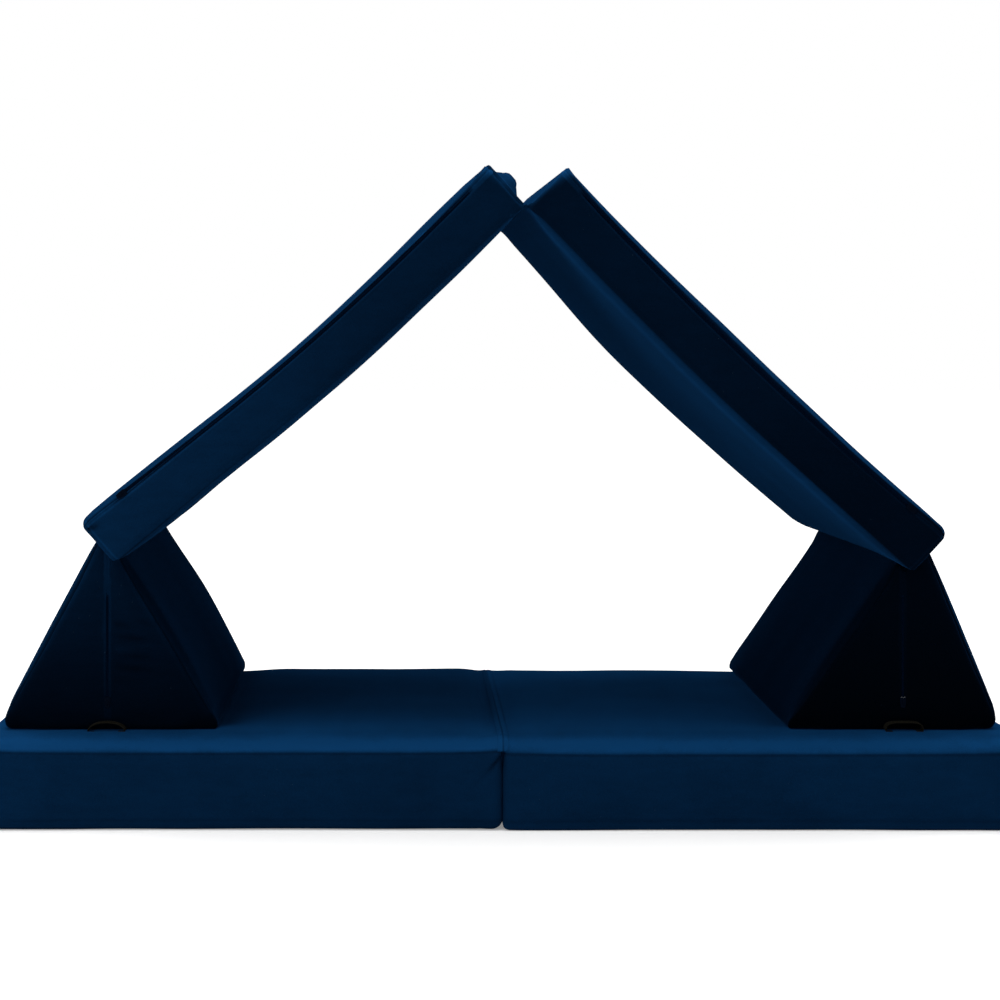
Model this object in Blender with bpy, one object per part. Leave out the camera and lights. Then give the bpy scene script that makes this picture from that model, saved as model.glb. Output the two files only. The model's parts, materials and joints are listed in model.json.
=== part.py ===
# Modular foam play sofa, set up as a low den.
# Two folding mats and two triangular bolsters: the thick mat lies open on the floor, the bolsters
# stand across its ends, and the thin mat is bent over them as a pitched roof.
# Metres, +Z up, floor at Z = 0, the thick mat's fold at X = 0, its long front side towards -Y.

import math

import bmesh
import bpy
from mathutils import Vector

# Clearances
FIT = 0.0003            # air between two pieces that touch
FOAM_FIT = 0.0005       # air between a foam core and its cover
OVERRUN = 0.002         # how far a cut runs past the wall that it opens
FACE_FIT = 0.0005       # how far a fold's axis lies outside the two faces that close on each other

# Covers and foam
COVER_WALL = 0.005      # velour face with its backing and lining
SMALLEST_ROUND = 0.0005
FOLD_CORNER_ROUND = 0.006
SEAM_BEAD_END = 0.012   # how far the fold seam's bead stops short of the mat's sides

# Thick mat, two halves
BASE_LENGTH = 0.80      # one half, across the sofa
BASE_DEPTH = 0.80
BASE_THICK = 0.14
BASE_TOP_ROUND = 0.030
BASE_LOW_ROUND = 0.018
BASE_SIDE_ROUND = 0.024
BASE_DRAWN_IN = 0.003   # how far the sides pull in between the corners
BASE_CROWN = 0.005      # puff of the free top between the fold and a bolster

# Thin mat, two panels
ROOF_LENGTH = 0.80
ROOF_DEPTH = 0.80
ROOF_THICK = 0.086
ROOF_END_ROUND = 0.018
ROOF_SIDE_ROUND = 0.012
ROOF_DRAWN_IN = 0.003
ROOF_CROWN = 0.004
ROOF_SAG = 0.012        # dip of a panel under its own weight
ROOF_FOLD_X = 0.027     # the ridge stands a little to the right
ROOF_LEFT_SLOPE = math.radians(41.2)
ROOF_LEFT_INWARD = 0.022    # from the bolster's middle to the panel's lower corner
ROOF_LEFT_PRESSED = 0.047   # how far that corner lies below the bolster's sharp point
ROOF_RIGHT_OUTWARD = 0.002
ROOF_RIGHT_PRESSED = 0.069

# Bolsters
BOLSTER_WIDTH = 0.335   # sharp, across the foot
BOLSTER_HEIGHT = 0.311  # sharp, to the point above the foot
BOLSTER_LENGTH = 0.73
BOLSTER_FRONT_SET_BACK = 0.065
BOLSTER_FOOT_ROUND = 0.022
BOLSTER_TOP_ROUND = 0.020
BOLSTER_SIDE_ROUND = 0.018
BOLSTER_BULGE = 0.004   # swell of the triangular faces
BOLSTER_BULGE_REACH = 0.050
BOLSTER_CROWN = 0.004   # swell of the slopes
BOLSTER_LEFT_LEAN = -0.006  # the roof pushes the points outwards
BOLSTER_RIGHT_LEAN = 0.027

# Zips
ZIP_WIDTH = 0.010
ZIP_TAPE_THICK = 0.0015
ZIP_COIL_WIDTH = 0.005
ZIP_COIL_HEIGHT = 0.0012
ZIP_RECESS = 0.0010     # tape's face below the cover's face
SLIDER_LENGTH = 0.016
SLIDER_WIDTH = 0.0095
SLIDER_TOP_WIDTH = 0.006
SLIDER_HEIGHT = 0.0030
SLIDER_EDGE = 0.0014
BASE_ZIP_FROM_FOLD = 0.08
BASE_ZIP_FROM_END = 0.08
ROOF_ZIP_FROM_FOLD = 0.05
ROOF_ZIP_FROM_END = 0.06
ROOF_ZIP_BELOW_TOP = 0.012
BOLSTER_ZIP_LOW = 0.035
BOLSTER_ZIP_HIGH = 0.205

# Grab loops at the bolsters' feet
LOOP_SPAN = 0.056
LOOP_RISE = 0.015
LOOP_STRAP_WIDTH = 0.020
LOOP_STRAP_THICK = 0.0022
LOOP_FOOT = 0.010

# Steps of the faceted shapes
ROUND_STEPS = 3
FOLD_ROUND_STEPS = 2
BODY_STEPS = 5
CORE_ROUND_STEPS = 1
CORE_BODY_STEPS = 3
LONG_EDGE_STEPS = 6
SHORT_EDGE_STEPS = 2
CORE_LONG_EDGE_STEPS = 4
BEAD_SIDES = 10
ZIP_STEPS = 8
LOOP_STEPS = 10
CAP_RING_SHARES = (0.66, 0.30)

BASE_TOP = BASE_THICK
BASE_FOLD_Z = BASE_TOP + FACE_FIT
BEAD_RADIUS = (math.hypot(FIT + FOLD_CORNER_ROUND, FACE_FIT + FOLD_CORNER_ROUND)
               - FOLD_CORNER_ROUND - FIT)
ROOF_FOLD_HEIGHT = (BOLSTER_HEIGHT - ROOF_LEFT_PRESSED
                    + ROOF_LENGTH * math.sin(ROOF_LEFT_SLOPE))
ROOF_RIGHT_SLOPE = math.asin((ROOF_FOLD_HEIGHT - BOLSTER_HEIGHT + ROOF_RIGHT_PRESSED)
                             / ROOF_LENGTH)
ROOF_FOLD_Z = BASE_TOP + ROOF_FOLD_HEIGHT
BOLSTER_LEFT_X = ROOF_FOLD_X - ROOF_LENGTH * math.cos(ROOF_LEFT_SLOPE) - ROOF_LEFT_INWARD
BOLSTER_RIGHT_X = ROOF_FOLD_X + ROOF_LENGTH * math.cos(ROOF_RIGHT_SLOPE) - ROOF_RIGHT_OUTWARD
BOLSTER_FOOT_Z = BASE_TOP + FIT
BOLSTER_CENTRE_Y = (BOLSTER_LENGTH - BASE_DEPTH) / 2 + BOLSTER_FRONT_SET_BACK

NAVY = (0.003, 0.020, 0.055)
DEEP_NAVY = (0.002, 0.014, 0.040)
FOAM_WHITE = (0.78, 0.76, 0.70)
ZIP_NAVY = (0.003, 0.012, 0.030)
ZIP_METAL = (0.16, 0.17, 0.19)
WEBBING_BROWN = (0.11, 0.095, 0.075)
VELOUR_ROUGHNESS = 0.85
FOAM_ROUGHNESS = 0.95
TAPE_ROUGHNESS = 0.6
WEBBING_ROUGHNESS = 0.8
METAL_ROUGHNESS = 0.35
PLATED_METAL = 0.9


def clear_scene():
    for thing in list(bpy.data.objects):
        bpy.data.objects.remove(thing, do_unlink=True)


def paint(thing, colour, roughness, metallic=0.0):
    material = bpy.data.materials.new(thing.name + "_finish")
    material.use_nodes = True
    shader = material.node_tree.nodes["Principled BSDF"]
    shader.inputs["Base Color"].default_value = (*colour, 1.0)
    shader.inputs["Roughness"].default_value = roughness
    shader.inputs["Metallic"].default_value = metallic
    thing.data.materials.append(material)


def add_object(name, mesh, parent):
    thing = bpy.data.objects.new(name, mesh)
    bpy.context.scene.collection.objects.link(thing)
    thing.parent = parent
    return thing


def add_axis(name, place, slope=0.0):
    """An empty on a joint's axis, which carries the pieces that move about it."""
    axis = bpy.data.objects.new(name, None)
    bpy.context.scene.collection.objects.link(axis)
    axis.location = place
    axis.rotation_euler = (0.0, slope, 0.0)
    return axis


def mesh_from(name, points, faces):
    """A closed mesh with its faces turned outwards."""
    shape = bmesh.new()
    corners = [shape.verts.new(point) for point in points]
    for face in faces:
        shape.faces.new([corners[index] for index in face])
    bmesh.ops.triangulate(shape, faces=shape.faces, quad_method="FIXED")
    bmesh.ops.recalc_face_normals(shape, faces=shape.faces)
    mesh = bpy.data.meshes.new(name)
    shape.to_mesh(mesh)
    shape.free()
    return mesh


def cut(thing, cutter, name):
    """Leave a Boolean cut on an object, with its cutter kept as a wire guide."""
    cutter.hide_render = True
    cutter.display_type = "WIRE"
    modifier = thing.modifiers.new(name, "BOOLEAN")
    modifier.operation = "DIFFERENCE"
    modifier.solver = "EXACT"
    modifier.object = cutter


# Sections: a corner is its sharp point, its round, the arc's steps and the next edge's steps

def inward_normal(start, end):
    """The normal of an edge, pointing into a section that runs anticlockwise."""
    run = (end - start).normalized()
    return Vector((-run.y, run.x))


def outline(corners, inset):
    """The section's outline, moved inwards by the inset."""
    points = []
    count = len(corners)
    ends = []
    for index, (sharp, corner_round, arc_steps, edge_steps) in enumerate(corners):
        before = corners[index - 1][0]
        after = corners[(index + 1) % count][0]
        first = inward_normal(before, sharp)
        second = inward_normal(sharp, after)
        area = first.x * second.y - first.y * second.x
        begin = math.atan2(-first.y, -first.x)
        turn = math.atan2(area, first.dot(second))
        room = min((sharp - before).length, (after - sharp).length) / 2 / math.tan(turn / 2)
        left = max(min(corner_round, room) - inset, SMALLEST_ROUND)
        reach = inset + left
        centre = sharp + Vector((second.y - first.y, first.x - second.x)) * (reach / area)
        arc = []
        for step in range(arc_steps + 1):
            angle = begin + turn * step / arc_steps
            arc.append(centre + Vector((math.cos(angle), math.sin(angle))) * left)
        ends.append((arc, edge_steps))
    for index, (arc, edge_steps) in enumerate(ends):
        following = ends[(index + 1) % count][0][0]
        points.extend(arc)
        for step in range(1, edge_steps):
            points.append(arc[-1].lerp(following, step / edge_steps))
    return points


def loft(name, corners, depth, side_round, skin, round_steps, body_steps, warp):
    """A section run along Y with rounded front and back edges, then warped to its soft form."""
    half = depth / 2 - skin
    rounding = max(side_round - skin, SMALLEST_ROUND)
    front = []
    for step in range(round_steps + 1):
        angle = math.pi / 2 * step / round_steps
        front.append((half - rounding * (1 - math.cos(angle)),
                      skin + rounding * (1 - math.sin(angle))))
    flat = front[-1][0]
    stations = [(-place, inset) for place, inset in front]
    for step in range(1, body_steps):
        stations.append((flat * (2 * step / body_steps - 1), skin))
    stations.extend(reversed(front))
    points = []
    faces = []
    for place, inset in stations:
        points.extend(Vector((p.x, place, p.y)) for p in outline(corners, inset))
    count = len(points) // len(stations)
    for ring in range(len(stations) - 1):
        for index in range(count):
            after = (index + 1) % count
            low = ring * count
            faces.append((low + index, low + after, low + count + after, low + count + index))
    for end in (0, len(stations) - 1):
        rim = [points[end * count + index] for index in range(count)]
        middle = sum(rim, Vector()) / count
        outer = end * count
        for share in CAP_RING_SHARES:
            inner = len(points)
            points.extend(middle.lerp(point, share) for point in rim)
            for index in range(count):
                after = (index + 1) % count
                faces.append((outer + index, outer + after, inner + after, inner + index))
            outer = inner
        hub = len(points)
        points.append(middle)
        for index in range(count):
            faces.append((outer + index, outer + (index + 1) % count, hub))
    return mesh_from(name, [warp(point) for point in points], faces)


def sweep(name, path, side, profile):
    """A profile run along a path. Each stop of the path is its point and its outward direction."""
    points = []
    for place, outward in path:
        points.extend(place + side * across + outward * above for across, above in profile)
    count = len(profile)
    faces = [tuple(range(count)), tuple(range(len(points) - count, len(points)))]
    for ring in range(len(path) - 1):
        for index in range(count):
            after = (index + 1) % count
            low = ring * count
            faces.append((low + index, low + after, low + count + after, low + count + index))
    return mesh_from(name, points, faces)


def arch(share):
    """One at the middle of a span and nothing at its ends."""
    return 1 - (2 * share - 1) ** 2


def swell(share):
    """A soft bump that leaves both ends of its span level."""
    return math.sin(math.pi * min(max(share, 0.0), 1.0)) ** 2


# Zips

def box_profile(width, low, high):
    return [(-width / 2, low), (width / 2, low), (width / 2, high), (-width / 2, high)]


def zip_profile():
    """A flat tape, a little thinner at its edges, with the coil standing on its middle."""
    tape = ZIP_WIDTH / 2
    coil = ZIP_COIL_WIDTH / 2
    return [(-tape, -ZIP_TAPE_THICK), (tape, -ZIP_TAPE_THICK), (tape, -FIT), (coil, 0),
            (coil / 2, ZIP_COIL_HEIGHT), (-coil / 2, ZIP_COIL_HEIGHT), (-coil, 0), (-tape, -FIT)]


def slider_profile():
    """A plate over the coil with sloping shoulders."""
    out = SLIDER_WIDTH / 2
    low = ZIP_COIL_HEIGHT + FIT
    top = SLIDER_TOP_WIDTH / 2
    return [(-out, low), (out, low), (out, low + SLIDER_EDGE), (top, low + SLIDER_HEIGHT),
            (-top, low + SLIDER_HEIGHT), (-out, low + SLIDER_EDGE)]


def add_zip(label, cover, parent, path, side, slider_path):
    """The slot in the cover, the zip that fills it and the slider that runs on its coil."""
    run = (path[-1][0] - path[0][0]).normalized()
    longer = [(path[0][0] - run * FIT, path[0][1]), *path[1:-1],
              (path[-1][0] + run * FIT, path[-1][1])]
    slot_width = ZIP_WIDTH + 2 * FIT
    deep = -COVER_WALL - OVERRUN
    slot_mesh = sweep(label + "_zip_slot", longer, side,
                      box_profile(slot_width, deep, COVER_WALL + OVERRUN))
    cut(cover, add_object(label + "_zip_slot", slot_mesh, parent), "zip slot")
    tape = add_object(label + "_zip", sweep(label + "_zip", path, side, zip_profile()), parent)
    paint(tape, ZIP_NAVY, TAPE_ROUGHNESS)
    slider_mesh = sweep(label + "_zip_slider", slider_path, side, slider_profile())
    slider = add_object(label + "_zip_slider", slider_mesh, parent)
    paint(slider, ZIP_METAL, METAL_ROUGHNESS, PLATED_METAL)


def straight_path(start, end, outward, steps):
    return [(start.lerp(end, step / steps), outward) for step in range(steps + 1)]


def add_block(label, parent, corners, core_corners, depth, side_round, warp, colour):
    """One soft module: a hollow cover and the foam core inside it."""
    shape = (corners, depth, side_round, 0.0, ROUND_STEPS, BODY_STEPS, warp)
    cover = add_object(label + "_cover", loft(label + "_cover", *shape), parent)
    hollow = (core_corners, depth, side_round, COVER_WALL, CORE_ROUND_STEPS, CORE_BODY_STEPS, warp)
    cut(cover, add_object(label + "_hollow", loft(label + "_hollow", *hollow), parent), "hollow")
    filling = (core_corners, depth, side_round, COVER_WALL + FOAM_FIT, CORE_ROUND_STEPS,
               CORE_BODY_STEPS, warp)
    foam = add_object(label + "_foam", loft(label + "_foam", *filling), parent)
    paint(cover, colour, VELOUR_ROUGHNESS)
    paint(foam, FOAM_WHITE, FOAM_ROUGHNESS)
    return cover


# Thick mat: measured from its fold, side -1 is the left half and side 1 the right

def base_warp(side):
    free_top = (BOLSTER_RIGHT_X - BOLSTER_WIDTH / 2 if side > 0
                else -BOLSTER_LEFT_X - BOLSTER_WIDTH / 2)

    def warp(point):
        along = point.x / BASE_LENGTH
        across = point.y / BASE_DEPTH + 0.5
        height = (point.z + FACE_FIT) / BASE_THICK + 1
        drawn_x = point.x - BASE_DRAWN_IN * arch(across) * (2 * along - 1) ** 3
        drawn_y = point.y * (1 - BASE_DRAWN_IN * arch(along) / (BASE_DEPTH / 2))
        puff = BASE_CROWN * swell(point.x / free_top) * swell(across) ** 0.5 * max(height, 0) ** 2
        return Vector((side * drawn_x, drawn_y, point.z + puff))

    return warp


def base_corners(round_steps, fold_steps, long_steps, short_steps):
    top = -FACE_FIT
    low = top - BASE_THICK
    return [(Vector((FIT, low)), BASE_LOW_ROUND, round_steps, long_steps),
            (Vector((BASE_LENGTH, low)), BASE_LOW_ROUND, round_steps, short_steps),
            (Vector((BASE_LENGTH, top)), BASE_TOP_ROUND, round_steps, long_steps),
            (Vector((FIT, top)), FOLD_CORNER_ROUND, fold_steps, short_steps)]


def add_base_half(label, side, parent):
    corners = base_corners(ROUND_STEPS, FOLD_ROUND_STEPS, LONG_EDGE_STEPS, SHORT_EDGE_STEPS)
    core_corners = base_corners(CORE_ROUND_STEPS, CORE_ROUND_STEPS, CORE_LONG_EDGE_STEPS,
                                SHORT_EDGE_STEPS)
    cover = add_block(label, parent, corners, core_corners, BASE_DEPTH, BASE_SIDE_ROUND,
                      base_warp(side), NAVY)
    back = BASE_DEPTH / 2 - BASE_DRAWN_IN - ZIP_RECESS
    middle = -FACE_FIT - BASE_THICK / 2
    start = Vector((side * (BASE_LENGTH - BASE_ZIP_FROM_END), back, middle))
    end = Vector((side * BASE_ZIP_FROM_FOLD, back, middle))
    outward = Vector((0, 1, 0))
    path = straight_path(start, end, outward, 1)
    run = (end - start).normalized()
    slider_path = straight_path(start, start + run * SLIDER_LENGTH, outward, 1)
    add_zip(label, cover, parent, path, Vector((0, 0, 1)), slider_path)


# Thin mat: measured from its fold along the panel, underside at the bottom

def roof_dip(along):
    return ROOF_SAG * arch(along / ROOF_LENGTH)


def roof_warp(side):
    def warp(point):
        along = point.x / ROOF_LENGTH
        across = point.y / ROOF_DEPTH + 0.5
        height = (point.z - FACE_FIT) / ROOF_THICK
        drawn_x = point.x - ROOF_DRAWN_IN * arch(across) * along ** 3
        drawn_y = point.y * (1 - ROOF_DRAWN_IN * arch(along) / (ROOF_DEPTH / 2))
        puff = ROOF_CROWN * swell(along) * swell(across) ** 0.5 * max(height, 0) ** 2
        return Vector((side * drawn_x, drawn_y, point.z + puff - roof_dip(point.x)))

    return warp


def roof_corners(round_steps, fold_steps, long_steps, short_steps):
    low = FACE_FIT
    top = low + ROOF_THICK
    return [(Vector((FIT, low)), FOLD_CORNER_ROUND, fold_steps, long_steps),
            (Vector((ROOF_LENGTH, low)), ROOF_END_ROUND, round_steps, short_steps),
            (Vector((ROOF_LENGTH, top)), ROOF_END_ROUND, round_steps, long_steps),
            (Vector((FIT, top)), ROOF_END_ROUND, round_steps, short_steps)]


def add_roof_panel(label, side, parent):
    corners = roof_corners(ROUND_STEPS, FOLD_ROUND_STEPS, LONG_EDGE_STEPS, SHORT_EDGE_STEPS)
    core_corners = roof_corners(CORE_ROUND_STEPS, CORE_ROUND_STEPS, CORE_LONG_EDGE_STEPS,
                                SHORT_EDGE_STEPS)
    cover = add_block(label, parent, corners, core_corners, ROOF_DEPTH, ROOF_SIDE_ROUND,
                      roof_warp(side), DEEP_NAVY)
    front = -(ROOF_DEPTH / 2 - ROOF_DRAWN_IN - ZIP_RECESS)
    level = FACE_FIT + ROOF_THICK - ROOF_ZIP_BELOW_TOP
    outward = Vector((0, -1, 0))

    def zip_stop(along):
        return Vector((side * along, front, level - roof_dip(along)))

    low = ROOF_LENGTH - ROOF_ZIP_FROM_END
    path = []
    for step in range(ZIP_STEPS + 1):
        along = low + (ROOF_ZIP_FROM_FOLD - low) * step / ZIP_STEPS
        path.append((zip_stop(along), outward))
    start = zip_stop(low)
    run = (zip_stop(low - SLIDER_LENGTH) - start).normalized()
    slider_path = straight_path(start, start + run * SLIDER_LENGTH, outward, 1)
    across = run.cross(outward)
    add_zip(label, cover, parent, path, across, slider_path)


# Bolsters: measured from the middle of the foot

def roof_corner(side):
    """The place of a panel's lower corner on its bolster, across and above the foot."""
    across = ROOF_RIGHT_OUTWARD if side > 0 else ROOF_LEFT_INWARD
    pressed = ROOF_RIGHT_PRESSED if side > 0 else ROOF_LEFT_PRESSED
    return Vector((across, BOLSTER_HEIGHT - pressed))


def bolster_corners(lean, fold_side, slope, round_steps, long_steps, short_steps):
    """A triangle whose point is pressed flat by the end face of the roof panel on it."""
    half = BOLSTER_WIDTH / 2
    foot_left = Vector((-half, 0.0))
    foot_right = Vector((half, 0.0))
    point = Vector((lean, BOLSTER_HEIGHT))
    away = Vector((fold_side * math.cos(slope), -math.sin(slope)))
    on_face = roof_corner(fold_side) + away * FIT - Vector((0, FIT))
    face_run = Vector((fold_side * math.sin(slope), math.cos(slope)))
    outer_foot = foot_right if fold_side > 0 else foot_left
    inner_foot = foot_left if fold_side > 0 else foot_right
    high = crossing(outer_foot, point - outer_foot, on_face, face_run)
    low = crossing(inner_foot, point - inner_foot, on_face, face_run)
    right, left = (high, low) if fold_side > 0 else (low, high)
    return [(foot_left, BOLSTER_FOOT_ROUND, round_steps, long_steps),
            (foot_right, BOLSTER_FOOT_ROUND, round_steps, long_steps),
            (right, BOLSTER_TOP_ROUND, round_steps, short_steps),
            (left, BOLSTER_TOP_ROUND, round_steps, long_steps)]


def crossing(first, first_run, second, second_run):
    """Where two lines cross."""
    area = first_run.x * second_run.y - first_run.y * second_run.x
    gap = second - first
    return first + first_run * ((gap.x * second_run.y - gap.y * second_run.x) / area)


def bolster_warp(corners):
    edges = []
    for index, corner in enumerate(corners):
        edges.append((corner[0], inward_normal(corner[0], corners[(index + 1) % len(corners)][0])))

    def warp(point):
        flat = Vector((point.x, point.z))
        depth_in = min((flat - start).dot(normal) for start, normal in edges)
        reach = min(max(depth_in / BOLSTER_BULGE_REACH, 0.0), 1.0)
        bulge = BOLSTER_BULGE * reach * (2 - reach)
        across = point.y / BOLSTER_LENGTH + 0.5
        height = point.z / BOLSTER_HEIGHT
        width = BOLSTER_WIDTH * (1 - height)
        spread = BOLSTER_CROWN * swell(across) ** 0.5 * swell(height) * 2 / width
        middle = point.y * (1 + bulge / (BOLSTER_LENGTH / 2))
        return Vector((point.x * (1 + spread), middle, point.z))

    return warp


def add_bolster(label, parent, lean, fold_side, slope):
    shape = (lean, fold_side, slope)
    corners = bolster_corners(*shape, ROUND_STEPS, LONG_EDGE_STEPS // 2, SHORT_EDGE_STEPS)
    core_corners = bolster_corners(*shape, CORE_ROUND_STEPS, SHORT_EDGE_STEPS, SHORT_EDGE_STEPS)
    warp = bolster_warp(corners)
    cover = add_block(label, parent, corners, core_corners, BOLSTER_LENGTH, BOLSTER_SIDE_ROUND,
                      warp, DEEP_NAVY)
    ends = [warp(Vector((0, -BOLSTER_LENGTH / 2, height)))
            for height in (BOLSTER_ZIP_LOW, BOLSTER_ZIP_HIGH)]
    front = max(end.y for end in ends) + ZIP_RECESS
    start = Vector((0, front, BOLSTER_ZIP_LOW))
    end = Vector((0, front, BOLSTER_ZIP_HIGH))
    outward = Vector((0, -1, 0))
    path = straight_path(start, end, outward, 1)
    slider_path = straight_path(start, start + Vector((0, 0, SLIDER_LENGTH)), outward, 1)
    add_zip(label, cover, parent, path, Vector((1, 0, 0)), slider_path)
    add_loop(label, parent, warp(Vector((0, -BOLSTER_LENGTH / 2, LOOP_RISE))).y - FIT)


def add_loop(label, parent, front):
    """A webbing grab loop sewn into the seam at the foot of the front face: an arch on flat feet."""
    half = LOOP_SPAN / 2
    low = LOOP_STRAP_THICK / 2
    rise = LOOP_RISE - LOOP_STRAP_THICK
    upward = Vector((0, 0, 1))
    path = [(Vector((-half - LOOP_FOOT, front, low)), upward)]
    for step in range(LOOP_STEPS + 1):
        angle = math.pi * step / LOOP_STEPS
        place = Vector((-half * math.cos(angle), front, low + rise * math.sin(angle)))
        outward = Vector((-rise * math.cos(angle), 0, half * math.sin(angle))).normalized()
        at_foot = step in (0, LOOP_STEPS)
        path.append((place, upward if at_foot else outward))
    path.append((Vector((half + LOOP_FOOT, front, low)), upward))
    profile = [(across + LOOP_STRAP_WIDTH / 2, above)
               for across, above in box_profile(LOOP_STRAP_WIDTH, -low, low)]
    strap = sweep(label + "_loop", path, Vector((0, -1, 0)), profile)
    loop = add_object(label + "_loop", strap, parent)
    paint(loop, WEBBING_BROWN, WEBBING_ROUGHNESS)


def add_fold_seam(name, parent, depth):
    """The sewn bead along a fold, round its axis."""
    half = depth / 2 - SEAM_BEAD_END
    path = [(Vector((0, place, 0)), Vector((0, 0, 1))) for place in (-half, half)]
    profile = []
    for step in range(BEAD_SIDES):
        angle = 2 * math.pi * step / BEAD_SIDES
        profile.append((BEAD_RADIUS * math.cos(angle), BEAD_RADIUS * math.sin(angle)))
    seam = add_object(name, sweep(name, path, Vector((1, 0, 0)), profile), parent)
    paint(seam, NAVY, VELOUR_ROUGHNESS)


def build():
    clear_scene()
    base_fold = add_axis("base_fold_axis", (0, 0, BASE_FOLD_Z))
    add_base_half("base_right", 1, base_fold)
    add_base_half("base_left", -1, base_fold)
    add_fold_seam("base_fold_seam", base_fold, BASE_DEPTH)

    roof_fold = (ROOF_FOLD_X, 0, ROOF_FOLD_Z)
    left_fold = add_axis("roof_left_axis", roof_fold, -ROOF_LEFT_SLOPE)
    add_roof_panel("roof_left", -1, left_fold)
    right_fold = add_axis("roof_right_axis", roof_fold, ROOF_RIGHT_SLOPE)
    add_roof_panel("roof_right", 1, right_fold)
    add_fold_seam("roof_fold_seam", add_axis("roof_seam_axis", roof_fold), ROOF_DEPTH)

    left_foot = add_axis("bolster_left_axis", (BOLSTER_LEFT_X, BOLSTER_CENTRE_Y, BOLSTER_FOOT_Z))
    add_bolster("bolster_left", left_foot, BOLSTER_LEFT_LEAN, -1, ROOF_LEFT_SLOPE)
    right_foot = add_axis("bolster_right_axis",
                          (BOLSTER_RIGHT_X, BOLSTER_CENTRE_Y, BOLSTER_FOOT_Z))
    add_bolster("bolster_right", right_foot, BOLSTER_RIGHT_LEAN, 1, ROOF_RIGHT_SLOPE)
    bpy.context.view_layer.update()


build()
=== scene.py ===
# %% [markdown]
# # A modular foam play sofa in navy velour
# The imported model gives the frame: where each piece is and what it moves with. This lesson dresses
# it: soft zipped covers with their seams and creases, the foam inside them, zips, webbing loops,
# light and a camera. Everything is in metres, +Z up, with the floor at Z = 0.

# %% Load the frame
import json
import math

import bpy
import numpy as np
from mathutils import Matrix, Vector, noise
from mathutils.bvhtree import BVHTree


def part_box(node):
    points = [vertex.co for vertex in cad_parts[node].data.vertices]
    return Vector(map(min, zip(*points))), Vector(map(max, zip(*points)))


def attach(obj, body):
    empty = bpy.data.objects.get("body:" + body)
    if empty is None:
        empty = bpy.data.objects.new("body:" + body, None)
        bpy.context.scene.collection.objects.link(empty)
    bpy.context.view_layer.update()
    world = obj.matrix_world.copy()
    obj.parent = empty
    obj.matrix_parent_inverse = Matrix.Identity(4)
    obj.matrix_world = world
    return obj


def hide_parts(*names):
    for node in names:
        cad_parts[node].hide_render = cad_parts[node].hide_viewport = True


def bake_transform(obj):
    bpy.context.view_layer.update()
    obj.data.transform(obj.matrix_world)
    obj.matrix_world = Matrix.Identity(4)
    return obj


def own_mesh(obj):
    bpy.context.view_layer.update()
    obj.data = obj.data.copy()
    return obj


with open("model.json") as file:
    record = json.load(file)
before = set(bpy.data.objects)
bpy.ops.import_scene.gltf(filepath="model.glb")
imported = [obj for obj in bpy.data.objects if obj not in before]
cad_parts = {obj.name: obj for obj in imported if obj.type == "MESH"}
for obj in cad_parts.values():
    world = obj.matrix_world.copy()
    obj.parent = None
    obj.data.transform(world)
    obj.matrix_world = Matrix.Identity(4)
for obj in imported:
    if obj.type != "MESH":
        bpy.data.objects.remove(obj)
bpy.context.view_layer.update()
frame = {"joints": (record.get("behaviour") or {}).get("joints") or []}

# %% [markdown]
# ## The sizes that the covers share with the model
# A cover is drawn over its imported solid, so it needs the same few driving sizes: the two mats, the
# two bolsters and the slope of the roof. The places of the folds come from the joints.

# %% Sizes of the mats and bolsters
FIT = 0.0003            # air between two pieces that touch
FACE_FIT = 0.0005       # how far the roof's fold axis lies below its panels
BASE_LENGTH = 0.80
BASE_DEPTH = 0.80
BASE_THICK = 0.14
BASE_DRAWN_IN = 0.003
BASE_CROWN = 0.005
ROOF_LENGTH = 0.80
ROOF_DEPTH = 0.80
ROOF_THICK = 0.086
ROOF_DRAWN_IN = 0.003
ROOF_CROWN = 0.004
ROOF_SAG = 0.012
ROOF_LEFT_SLOPE = math.radians(41.2)
ROOF_LEFT_INWARD = 0.022
ROOF_LEFT_PRESSED = 0.047
ROOF_RIGHT_OUTWARD = 0.002
ROOF_RIGHT_PRESSED = 0.069
BOLSTER_WIDTH = 0.335
BOLSTER_HEIGHT = 0.311
BOLSTER_LENGTH = 0.73
BOLSTER_FRONT_SET_BACK = 0.065
BOLSTER_CROWN = 0.004
BOLSTER_LEFT_LEAN = -0.006
BOLSTER_RIGHT_LEAN = 0.027


def joint_place(name):
    """Where a joint's axis passes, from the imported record."""
    return Vector(next(joint for joint in frame["joints"] if joint["name"] == name)["pos_m"])


ROOF_FOLD = joint_place("roof_left_fold")
BOLSTER_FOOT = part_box("bolster_left_cover")[0].z
ROOF_RIGHT_SLOPE = math.asin((ROOF_FOLD.z - BASE_THICK - BOLSTER_HEIGHT + ROOF_RIGHT_PRESSED)
                             / ROOF_LENGTH)
BOLSTER_LEFT_X = ROOF_FOLD.x - ROOF_LENGTH * math.cos(ROOF_LEFT_SLOPE) - ROOF_LEFT_INWARD
BOLSTER_RIGHT_X = ROOF_FOLD.x + ROOF_LENGTH * math.cos(ROOF_RIGHT_SLOPE) - ROOF_RIGHT_OUTWARD
BOLSTER_Y = (BOLSTER_LENGTH - BASE_DEPTH) / 2 + BOLSTER_FRONT_SET_BACK
print("roof slopes", math.degrees(ROOF_LEFT_SLOPE), math.degrees(ROOF_RIGHT_SLOPE))

# %% [markdown]
# ## The camera
# In the photograph the lines that run away from the viewer meet left of the middle and high up,
# while upright lines stay upright. So the camera looks straight ahead from the left of the sofa,
# and the lens is shifted, as with a view camera. A tilted camera would bend the uprights.

# %% Camera
CAMERA_PLACE = (-0.154, -4.265, 0.739)
CAMERA_LENS_MM = 93.4
CAMERA_SHIFT = (0.10, -0.165)

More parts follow.
